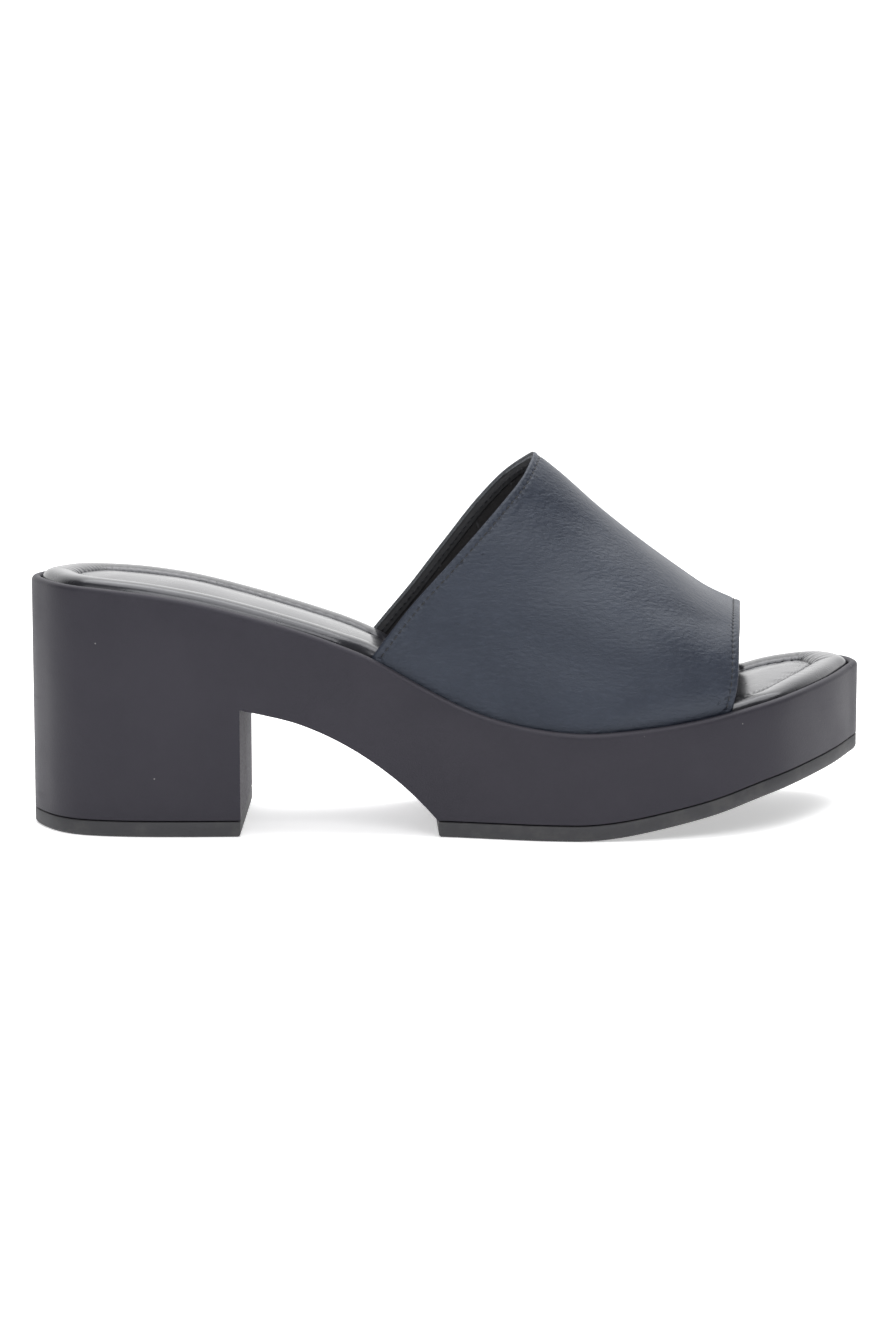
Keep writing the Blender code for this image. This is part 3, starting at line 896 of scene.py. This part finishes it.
@dataclass(frozen=True)
class Thread:
    """Twisted sewing thread, with a painted sheen on its raised strands."""

    name: str = "black_thread"
    colour: Colour = (0.010, 0.011, 0.014)

    def material(self) -> bpy.types.Material:
        """Builds the finish."""
        paint = Paint(self.name)
        twist = paint.noise(paint.millimetres((2.0, 2.0, 5.0)), 1.6, 2.0)
        # lighter on the raised strands of the twist: painted sheen
        highlight_and_tone = tuple(value * 2.2 for value in self.colour)
        colour = paint.blend(twist.ramp(0.4, 0.7), self.colour, highlight_and_tone)
        return paint.finish({"Base Color": colour, "Roughness": 0.55, "Normal": paint.bump(twist, 0.08)})


# Sub-assemblies

@dataclass
class Platform:
    """Moulded sole with heel, rim and tray, and the rubber under it."""

    sole: SoleForm = SoleForm()
    stations: int = 120
    tread_stations: int = 60
    tread: float = 0.0046
    tread_edge: float = 0.0012
    tread_chamfer: float = 0.0003
    seam_gap: float = 0.0004
    rim_width: float = 0.0026
    rim_round: float = 0.0016
    rim_inner_round: float = 0.0008
    round_steps: int = 6
    edge_radius: float = 0.0006
    bevel_angle: float = 38.0
    crisp_angle: float = 50.0
    upright: float = 0.9
    downward: float = 0.25
    breast_band: float = 0.005
    tread_top: float = 0.006
    arch_end: float = 0.01

    def build(self) -> None:
        """Builds and dresses the sole and both treads."""
        body = self.sole_body()
        lay_on(body, ["sole_unit"])
        sole = self.sole
        heel_cuts = (sole.heel_length, sole.heel_length + sole.breast_reach)
        heel = self.rubber("heel_tread", heel_cuts, heel=True)
        lay_on(heel, ["heel_top_piece"])
        front = self.rubber("forefoot_tread", (sole.forefoot_start, sole.forefoot_start), heel=False)
        lay_on(front, ["forefoot_outsole"])

    def sole_body(self) -> Piece:
        """Lofts the sole through its rings and opens the arch."""
        sole, rim = self.sole, self.sole.rim
        under = self.tread + self.seam_gap
        steps = [(0.0, lambda x: sole.floor(x) + under)]
        for share in (0.25, 0.5, 0.75):
            steps.append((0.0, lambda x, s=share: mix(sole.floor(x) + under, rim(x) - self.rim_round, s)))
        for k in range(self.round_steps + 1):
            turn = math.pi / 2.0 * k / self.round_steps
            inset, drop = self.rim_round * (1 - math.cos(turn)), self.rim_round * (1 - math.sin(turn))
            steps.append((inset, lambda x, d=drop: rim(x) - d))
        for k in range(self.round_steps + 1):
            turn = math.pi / 2.0 * k / self.round_steps
            inset = self.rim_width - self.rim_inner_round * (1 - math.sin(turn))
            steps.append((inset, lambda x, d=self.rim_inner_round * (1 - math.cos(turn)): rim(x) - d))
        steps.append((self.rim_width, lambda x: rim(x) - sole.tray_depth))
        rings = np.array([with_heights(sole.paired_ring(inset, self.stations), h) for inset, h in steps])
        body = lofted("sole_body", rings, sole)
        cutter = self.arch_block()
        cut = body.modifiers.new("arch", "BOOLEAN")
        cut.operation, cut.solver, cut.object = "DIFFERENCE", "MANIFOLD", cutter
        bake_modifiers(body)
        bpy.data.objects.remove(cutter)
        body.data.materials.clear()
        dress(body, MouldedFoam().material(), CutFoam().material())
        self.mark_cut_faces(body.data)
        self.soften_edges(body)
        return body

    def mark_cut_faces(self, mesh: bpy.types.Mesh) -> None:
        """Gives the breast and the arch's underside the open foam, painted paler as light from the floor.
        """
        back = self.sole.heel_length - self.sole.length / 2.0
        front = self.sole.forefoot_start + self.arch_end - self.sole.length / 2.0
        for face in mesh.polygons:
            x, z = face.center.x, face.center.z
            ahead = face.normal.x > self.upright and abs(x - back) < self.breast_band
            below = face.normal.z < -self.downward and x > back and z > self.tread_top
            face.material_index = 1 if ahead or (below and x < front) else 0

    def soften_edges(self, piece: Piece) -> None:
        """Rounds the sharp edges of a moulded piece and keeps its shading clean."""
        bevel = piece.modifiers.new("rounding", "BEVEL")
        bevel.width = self.edge_radius
        bevel.segments = 2
        bevel.limit_method = "ANGLE"
        bevel.angle_limit = math.radians(self.bevel_angle)
        bevel.harden_normals = True
        piece.data.shade_smooth()

    def arch_block(self) -> Piece:
        """Block that opens the arch: breast, arch curve and the drop to the forefoot."""
        sole, count = self.sole, 48
        x = np.linspace(sole.heel_length, sole.forefoot_start, count + 1)
        z = sole.arch_line(x)
        fall = (z[-2] - z[-1]) / (x[-1] - x[-2])
        end = sole.forefoot_start + (z[-1] + self.tread) / fall
        bm = bmesh.new()
        line = [bm.verts.new((px, -sole.ball_width, pz)) for px, pz in zip(x, z)]
        line.append(bm.verts.new((end, -sole.ball_width, -self.tread)))
        line.append(bm.verts.new((sole.heel_length, -sole.ball_width, -self.tread)))
        face = bm.faces.new(line)
        made = bmesh.ops.extrude_face_region(bm, geom=[face])["geom"]
        far = [item for item in made if isinstance(item, bmesh.types.BMVert)]
        bmesh.ops.translate(bm, verts=far, vec=(0.0, 2.0 * sole.ball_width, 0.0))
        outer, inner = (float(read_side(side, sole.heel_length)) for side in sole.sides(0.0))
        for vert in bm.verts:
            if vert.co.x < sole.heel_length + 1e-6:
                vert.co.x += sole.breast_reach * (vert.co.y - outer) / (inner - outer)
        return finished("arch_block", bm, sole)

    def rubber(self, name: str, cuts: tuple[float, float], heel: bool) -> Piece:
        """Lofts a tread and gives its ground side ribs."""
        sole = self.sole
        steps = [(self.tread_edge * (1 - math.sin(turn)), self.tread_edge * (1 - math.cos(turn)))
                 for turn in np.linspace(0.0, math.pi / 2.0, 5)]
        steps += [(0.0, self.tread - self.tread_chamfer), (self.tread_chamfer, self.tread)]
        rings = []
        for inset, rise in steps:
            ring = sole.end_ring(inset, cuts, heel, self.tread_stations)
            rings.append(with_heights(ring, lambda x, r=rise: sole.floor(x) + r))
        piece = lofted(name, np.array(rings), sole)
        dress(piece, Rubber(Tread.SIDE).material(), Rubber(Tread.GROUND).material())
        for face in piece.data.polygons:
            face.material_index = 1 if face.normal.z < -self.upright else 0
        piece.data.set_sharp_from_angle(angle=math.radians(self.crisp_angle))
        return piece


@dataclass
class Footbed:
    """Padded roll and sock panel, sewn together and laid in the tray."""

    form: InsoleForm = InsoleForm()
    around: int = 420
    panel_steps: int = 150
    panel_across: int = 40
    crown: float = 0.0012
    seam_depth: float = 0.0016
    seam_round: float = 0.0013
    swell_reach: float = 0.016
    pucker: float = 0.0022
    crisp_angle: float = 60.0
    section: tuple = (
        (0.00, 0.00), (0.00, 0.30), (0.00, 0.62), (0.015, 0.72), (0.06, 0.82), (0.12, 0.895),
        (0.20, 0.95), (0.30, 0.985), (0.42, 1.00), (0.55, 0.998), (0.66, 0.985), (0.76, 0.96),
        (0.85, 0.925), (0.92, 0.88), (0.965, 0.82), (0.99, 0.74), (1.00, 0.64), (1.00, 0.40), (1.00, 0.00),
    )

    def build(self) -> None:
        """Builds and dresses both pieces."""
        leather = GlossyLeather().material()
        roll = self.roll()
        dress(roll, leather)
        lay_on(roll, ["insole_roll"])
        panel = self.panel()
        dress(panel, leather)
        lay_on(panel, ["insole_panel"])

    def roll(self) -> Piece:
        """Sweeps the roll's section round the footbed, with gathers at its seam."""
        form, width = self.form, self.form.roll_width
        base = form.sole.ring(0.0, self.around)
        run = self.run_of(base)
        rings = []
        for across, up in self.section:
            ring = form.sole.ring(lambda x, a=across: form.outer_inset(x) + width * a, self.around)
            ring = self.relaxed(ring)
            height = form.level(ring[:, 0], up)
            height += self.relief(ring, run, across, up)
            rings.append(np.column_stack((ring, height)))
        points = np.array(rings)
        bm = grid_mesh(points, closed_round=True, closed_across=True)
        piece = finished("footbed_roll", bm, form.sole)
        seam = np.array([[(1.0 - across) * width] for across, _ in self.section])
        shape = points.shape[:2]
        numbers = {"run": np.broadcast_to(run, shape), "seam": np.broadcast_to(seam, shape)}
        keep_numbers(piece, self.centred(points), numbers)
        add_subdivision(piece, 1)
        return piece

    def centred(self, points: Array) -> Array:
        """Points in the frame of the solids, from x measured from the heel's back."""
        moved = points.copy()
        moved[..., 0] -= self.form.sole.length / 2.0
        return moved

    def relief(self, ring: Array, run: Array, across: float, up: float) -> Array:
        """Unevenness of the roll: a slow swell, and gathers beside its seam."""
        if up < 0.5:
            return np.zeros(len(ring))
        slow = ripple(run, (0.037, 0.023, 0.061), 3) * 0.10 * MM
        x = ring[:, 0] / self.form.sole.length
        at_toe = ease((x - 0.86) / 0.06)
        at_heel = ease((0.07 - x) / 0.05) * 0.6
        beside = ease((across - 0.35) / 0.5)
        folds = ripple(run, (0.0036, 0.0047, 0.0029), 5) * 0.34 * MM
        return slow + folds * beside * np.maximum(at_toe, at_heel)

    def relaxed(self, ring: Array) -> Array:
        """Evens out a ring that was drawn far inwards."""
        for _ in range(3):
            ring = (np.roll(ring, 1, axis=0) + 2.0 * ring + np.roll(ring, -1, axis=0)) / 4.0
        return ring

    def run_of(self, ring: Array) -> Array:
        """Distance round a ring from its first point."""
        steps = np.linalg.norm(np.roll(ring, -1, axis=0) - ring, axis=1)
        return np.concatenate(([0.0], np.cumsum(steps)[:-1]))

    def panel(self) -> Piece:
        """Crowned sock panel whose rim turns down into the seam."""
        form = self.form
        beyond = form.clearance * 0.3
        ring = form.sole.ring(lambda x: form.outer_inset(x) + form.roll_width + beyond, self.around)
        edge = self.relaxed(ring)
        start = int(np.argmin(edge[:, 0]))
        edge = np.roll(edge, -start, axis=0)
        front = int(np.argmax(edge[:, 0]))
        outer, inner = edge[: front + 1], np.concatenate((edge[front:], edge[:1]))[::-1]
        x = mix(edge[0, 0], edge[front, 0], crowded(self.panel_steps))[:, None]
        y = mix(read_side(outer, x), read_side(inner, x), crowded(self.panel_across)[None, :])
        x = np.broadcast_to(x, y.shape)
        gaps = np.linalg.norm(np.stack([x, y], axis=2)[:, :, None] - edge[None, None, ::2], axis=3)
        gap = gaps.min(axis=2)
        run = self.run_of(edge)[::2][gaps.argmin(axis=2)]
        swell = 1.0 - (1.0 - np.clip(gap / self.swell_reach, 0.0, 1.0)) ** 2
        turned = 1.0 - np.clip(gap / self.seam_round, 0.0, 1.0)
        z = form.level(x, form.seam_level) + self.crown * swell
        z = z - self.seam_depth * (1.0 - np.sqrt(np.clip(1.0 - turned**2, 0.0, 1.0)))
        toe = ease((x / form.sole.length - 0.84) / 0.06)
        gathers = ripple(run, (0.0041, 0.0031, 0.0053), 9) * 0.16 * MM
        z = z + gathers * hump(gap - self.pucker, self.pucker) * toe
        z = z + ripple(x, (0.041, 0.027), 11) * 0.12 * MM * swell
        points = np.stack([x, y, z], axis=2)
        bm = grid_mesh(points)
        rim = [item for item in bm.edges if item.is_boundary]
        made = bmesh.ops.extrude_edge_only(bm, edges=rim)["geom"]
        low = [item for item in made if isinstance(item, bmesh.types.BMVert)]
        for vert in low:
            vert.co.z = float(form.level(np.array(vert.co.x), 0.0))
        bottom = [item for item in made if isinstance(item, bmesh.types.BMEdge) and item.is_boundary]
        bmesh.ops.contextual_create(bm, geom=bottom)
        piece = finished("footbed_panel", bm, form.sole)
        keep_numbers(piece, self.centred(points), {"run": run, "seam": gap}, spare=-1)
        piece.data.set_sharp_from_angle(angle=math.radians(self.crisp_angle))
        return piece


@dataclass(frozen=True)
class Crease:
    """A soft trough, or a ridge where its depth is negative, between two places of the strap.

    A place is a share from back to front and a share from the outer to the inner margin.
    """

    start: tuple[float, float]
    end: tuple[float, float]
    width: float
    depth: float


@dataclass
class Strap:
    """Broad leather strap with its lining, raw edges and stitching."""

    form: StrapForm = StrapForm()
    columns: int = 300
    middle_rows: int = 44
    edge_rows: int = 14
    edge_share: float = 0.075
    tuck_rows: int = 4
    leather: float = 0.0013
    lining: float = 0.0007
    lining_gap: float = 0.00002
    lining_setback: float = 0.0004
    stitch_inset: float = 0.0022
    stitch_pitch: float = 0.0021
    stitch_length: float = 0.00165
    stitch_radius: float = 0.00024
    groove: float = 0.00030
    groove_width: float = 0.00065
    edge_drop: float = 0.00030
    edge_round: float = 0.0006
    crease_margin: float = 0.006
    wave: float = 0.00018
    wave_reach: float = 0.012
    span: tuple[float, float] = (0.085, 0.185)
    creases: tuple = (
        Crease((0.30, 0.10), (0.66, 0.09), 0.0075, 0.00055),
        Crease((0.40, 0.20), (0.86, 0.17), 0.0085, -0.00040),
        Crease((0.12, 0.22), (0.42, 0.30), 0.0060, -0.00025),
        Crease((0.05, 0.30), (0.30, 0.36), 0.0045, 0.00022),
        Crease((0.62, 0.26), (0.95, 0.30), 0.0065, 0.00030),
        Crease((0.45, 0.90), (0.80, 0.86), 0.0080, 0.00045),
        Crease((0.20, 0.74), (0.55, 0.70), 0.0070, 0.00028),
    )
    along: Array = field(init=False)
    angles: Array = field(init=False)
    outer: Array = field(init=False)
    normals: Array = field(init=False)
    edge: Array = field(init=False)
    run: Array = field(init=False)

    def __post_init__(self) -> None:
        """Works out the strap's surface and the distances on it."""
        near = np.linspace(0.0, self.edge_share, self.edge_rows + 1)
        middle = np.linspace(self.edge_share, 1.0 - self.edge_share, self.middle_rows + 1)[1:-1]
        self.along = np.concatenate((near, middle, 1.0 - near[::-1]))
        self.angles = np.linspace(0.0, math.pi, self.columns + 1)
        surface = self.form.surface(self.along, self.angles, self.tuck_rows)
        surface[:, :, 0] -= self.form.sole.length / 2.0
        self.measure(surface)
        self.outer = surface + self.normals * self.relief()[:, :, None]

    def measure(self, points: Array) -> None:
        """Finds normals, distance to the nearer edge and run along it."""
        down = np.gradient(points, axis=0)
        over = np.gradient(points, axis=1)
        normal = np.cross(over, down)
        normal /= np.linalg.norm(normal, axis=2)[:, :, None] + 1e-12
        middle = normal[len(normal) // 2, normal.shape[1] // 2]
        self.normals = normal if middle[2] > 0 else -normal
        steps = np.linalg.norm(np.diff(points, axis=0), axis=2)
        from_back = np.concatenate((np.zeros((1, steps.shape[1])), np.cumsum(steps, axis=0)))
        from_front = from_back[-1:] - from_back
        back = from_back * self.slant(points, 0)
        front = from_front * self.slant(points, -1)
        back_run = self.run_along(points[0])
        front_run = self.run_along(points[-1])
        nearer_back = back < front
        self.edge = np.where(nearer_back, back, front)
        self.run = np.where(nearer_back, back_run[None, :], front_run[None, :])

    def slant(self, points: Array, row: int) -> Array:
        """Sine of the angle between an edge and the lines that run away from it."""
        away = points[1 if row == 0 else -2] - points[row]
        edge = np.gradient(points[row], axis=0)
        away = away / (np.linalg.norm(away, axis=1)[:, None] + 1e-12)
        edge = edge / (np.linalg.norm(edge, axis=1)[:, None] + 1e-12)
        sine = np.linalg.norm(np.cross(away, edge), axis=1)
        return np.clip(sine, 0.35, 1.0)[None, :]

    def run_along(self, line: Array) -> Array:
        """Distance along a line of points."""
        steps = np.linalg.norm(np.diff(line, axis=0), axis=1)
        return np.concatenate(([0.0], np.cumsum(steps)))

    def relief(self) -> Array:
        """Height of grooves, rounded edges and creases over the plain surface."""
        relief = -self.groove * hump(self.edge - self.stitch_inset, self.groove_width)
        relief -= self.edge_drop * np.clip(1.0 - self.edge / self.edge_round, 0.0, 1.0) ** 2
        shares = np.linspace(0.0, 1.0, self.columns + 1)
        shares = np.concatenate((np.zeros(self.tuck_rows), shares, np.ones(self.tuck_rows)))
        s, t = np.meshgrid(self.along * self.span[0], shares * self.span[1], indexing="ij")
        fade = ease(self.edge / self.crease_margin)
        for crease in self.creases:
            start, end = np.array(crease.start) * self.span, np.array(crease.end) * self.span
            way = end - start
            share = np.clip(((s - start[0]) * way[0] + (t - start[1]) * way[1]) / (way @ way), 0.0, 1.0)
            gap = np.hypot(s - start[0] - share * way[0], t - start[1] - share * way[1])
            relief -= crease.depth * hump(gap, crease.width) * fade
        wave = ripple(self.run, (0.031, 0.019, 0.047), 21) * self.wave
        wave = wave * np.clip(1.0 - self.edge / self.wave_reach, 0.0, 1.0)
        return relief + wave * (shares[None, :] > 0.02) * (shares[None, :] < 0.98)

    def build(self) -> None:
        """Builds and dresses the leather, the lining and the stitching."""
        leather = self.shell("strap_leather", 0.0, self.leather, 0.0)
        dress(leather, StrapLeather().material(), CutEdge().material())
        lay_on(leather, ["upper"])
        depth = self.leather + self.lining_gap
        lining = self.shell("strap_lining", depth, self.lining, self.lining_setback)
        dress(lining, Lining().material(), leather.data.materials[1])
        lay_on(lining)
        thread = Thread().material()
        for name, row in (("back_stitches", 0), ("front_stitches", -1)):
            for inside in (False, True):
                stitches = self.stitches(f"{name}_{'inside' if inside else 'outside'}", row, inside)
                dress(stitches, thread)
                lay_on(stitches)

    def shell(self, name: str, depth: float, thickness: float, setback: float) -> Piece:
        """One layer of the strap.

        Args:
            name: name of the piece.
            depth: how far its outer face lies under the strap's surface.
            thickness: its thickness.
            setback: how far its two edges stand back.

        Returns:
            The piece, with a raw edge as its second material.
        """
        points = self.outer - self.normals * depth
        if setback:
            points = self.drawn_back(points, setback)
        bm = grid_mesh(points)
        bm.normal_update()
        middle = max(bm.faces, key=lambda face: face.calc_center_median().z)
        if middle.normal.z < 0.0:
            bmesh.ops.reverse_faces(bm, faces=bm.faces[:])
        piece = linked(name, bm)
        keep_numbers(piece, points, {"edge": self.edge, "run": self.run})
        wall = piece.modifiers.new("thickness", "SOLIDIFY")
        wall.thickness = thickness
        wall.offset = -1.0
        wall.material_offset_rim = 1
        return piece

    def drawn_back(self, points: Array, setback: float) -> Array:
        """Slides the rows next to both edges inwards along the surface."""
        moved = points.copy()
        for row, step in ((0, 1), (-1, -1)):
            away = points[row + step] - points[row]
            reach = np.linalg.norm(away, axis=1)[:, None]
            share = np.clip(setback / reach, 0.0, 0.8)
            moved[row] = points[row] + away * share
        return moved

    def stitches(self, name: str, row: int, inside: bool) -> Piece:
        """Row of single stitches along one edge.

        Args:
            name: name of the piece.
            row: 0 for the back edge, -1 for the front edge.
            inside: True for the side of the lining.

        Returns:
            The piece.
        """
        path, normal = self.edge_path(row)
        wall = self.leather + self.lining
        depth = -wall - self.stitch_radius * 0.2 if inside else self.stitch_radius * 0.1
        path = path + normal * depth
        run = self.run_along(path)
        middles = np.arange(self.stitch_pitch, run[-1] - self.stitch_pitch, self.stitch_pitch)
        bm = bmesh.new()
        for middle in middles:
            ends = [np.array([np.interp(middle + d, run, path[:, k]) for k in range(3)])
                    for d in (-self.stitch_pitch / 2.0, self.stitch_pitch / 2.0)]
            up = np.array([np.interp(middle, run, normal[:, k]) for k in range(3)])
            forward = Vector(ends[1] - ends[0]).normalized()
            side = Vector(up).cross(forward).normalized()
            true_up = forward.cross(side)
            turn = Matrix((forward, side, true_up)).transposed().to_4x4()
            radius = self.stitch_radius
            size = Matrix.Diagonal((self.stitch_length / 2.0, radius, radius, 1.0))
            place = Matrix.Translation(Vector((ends[0] + ends[1]) / 2.0)) @ turn @ size
            bmesh.ops.create_uvsphere(bm, u_segments=8, v_segments=6, radius=1.0, matrix=place)
        return linked(name, bm)

    def edge_path(self, row: int) -> tuple[Array, Array]:
        """Line on the surface at the stitches' distance from an edge.

        Args:
            row: 0 for the back edge, -1 for the front edge.

        Returns:
            Its points and the surface's normals there.
        """
        half = len(self.along) // 2
        rows = slice(0, half) if row == 0 else slice(len(self.along) - 1, half, -1)
        edge, outer, normals = self.edge[rows], self.outer[rows], self.normals[rows]
        first, last = self.tuck_rows, outer.shape[1] - self.tuck_rows
        path, ups = [], []
        for column in range(first, last):
            line = edge[:, column]
            path.append([np.interp(self.stitch_inset, line, outer[:, column, k]) for k in range(3)])
            ups.append([np.interp(self.stitch_inset, line, normals[:, column, k]) for k in range(3)])
        return np.array(path), np.array(ups)


@dataclass
class Studio:
    """Pale floor, soft light and the photograph's viewpoint."""

    eye: tuple[float, float, float] = (-0.0397, -1.0389, 0.2037)
    gaze: tuple[float, float, float] = (0.03451, 0.98816, -0.14954)
    focal_pixels: float = 3538.5
    frame_pixels: int = 880
    sensor: float = 36.0
    floor_size: float = 14.0
    floor_glow: float = 0.45
    front_level: float = 0.18
    back_level: float = 1.60
    fade_range: tuple[float, float] = (0.15, 0.55)

    def build(self) -> None:
        """Builds floor, light and camera."""
        self.floor()
        self.surroundings()
        self.lamp("overhead", (0.10, 0.15, 1.10), (0.0, 0.0, 0.05), (1.3, 1.1), 15.0)
        self.lamp("front_left", (-0.75, -0.95, 0.75), (0.0, 0.0, 0.05), (0.8, 0.8), 2.5)
        self.lamp("front_top", (0.10, -0.95, 1.00), (0.0, 0.0, 0.05), (0.8, 0.6), 7.0)
        self.camera()

    def floor(self) -> None:
        """Wide pale floor."""
        bm = bmesh.new()
        bmesh.ops.create_grid(bm, x_segments=2, y_segments=2, size=self.floor_size / 2.0)
        sockets = {
            "Base Color": (0.93, 0.93, 0.935, 1.0), "Roughness": 0.9,
            "Emission Color": (1.0, 1.0, 1.0, 1.0), "Emission Strength": self.floor_glow,
        }
        piece = linked("floor", bm)
        dress(piece, Paint("pale_floor").finish(sockets))

    def surroundings(self) -> None:
        """White surroundings, bright behind the shoe and dim on the viewer's side."""
        world = bpy.data.worlds.new("studio")
        world.use_nodes = True
        tree = world.node_tree
        back = tree.nodes["Background"]
        back.inputs["Color"].default_value = (1.0, 1.0, 1.0, 1.0)
        direction = tree.nodes.new("ShaderNodeTexCoord")
        parts = tree.nodes.new("ShaderNodeSeparateXYZ")
        tree.links.new(direction.outputs["Generated"], parts.inputs[0])
        fade = tree.nodes.new("ShaderNodeMapRange")
        fade.interpolation_type = "SMOOTHSTEP"
        start, end = self.fade_range
        levels = {"From Min": start, "From Max": end, "To Min": self.front_level, "To Max": self.back_level}
        for key, value in levels.items():
            fade.inputs[key].default_value = value
        tree.links.new(parts.outputs["Y"], fade.inputs["Value"])
        tree.links.new(fade.outputs["Result"], back.inputs["Strength"])
        bpy.context.scene.world = world

    def lamp(self, name: str, place: Sequence[float], target: Sequence[float], size: Sequence[float],
             power: float) -> None:
        """Soft rectangular lamp.

        Args:
            name: name of the lamp.
            place: where it stands.
            target: where it points.
            size: its two sides.
            power: its power in watts.
        """
        light = bpy.data.lights.new(name, "AREA")
        light.shape = "RECTANGLE"
        light.size, light.size_y = size
        light.energy = power
        lamp = bpy.data.objects.new(name, light)
        lamp.location = place
        lamp.rotation_euler = (Vector(target) - Vector(place)).to_track_quat("-Z", "Y").to_euler()
        bpy.context.scene.collection.objects.link(lamp)

    def camera(self) -> None:
        """Camera at the photograph's viewpoint."""
        data = bpy.data.cameras.new("viewpoint")
        data.sensor_fit = "HORIZONTAL"
        data.sensor_width = self.sensor
        data.lens = self.focal_pixels / self.frame_pixels * self.sensor
        data.clip_start, data.clip_end = 0.01, 100.0
        camera = bpy.data.objects.new("viewpoint", data)
        camera.location = self.eye
        camera.rotation_euler = Vector(self.gaze).to_track_quat("-Z", "Y").to_euler()
        bpy.context.scene.collection.objects.link(camera)
        bpy.context.scene.camera = camera
        bpy.context.scene.view_settings.view_transform = "Standard"


def main() -> None:
    """Builds the shoe and the studio in order."""
    logging.basicConfig(level=logging.INFO, format="%(name)s %(message)s")
    Studio().build()
    Platform().build()
    Footbed().build()
    Strap().build()


if __name__ == "__main__":
    main()
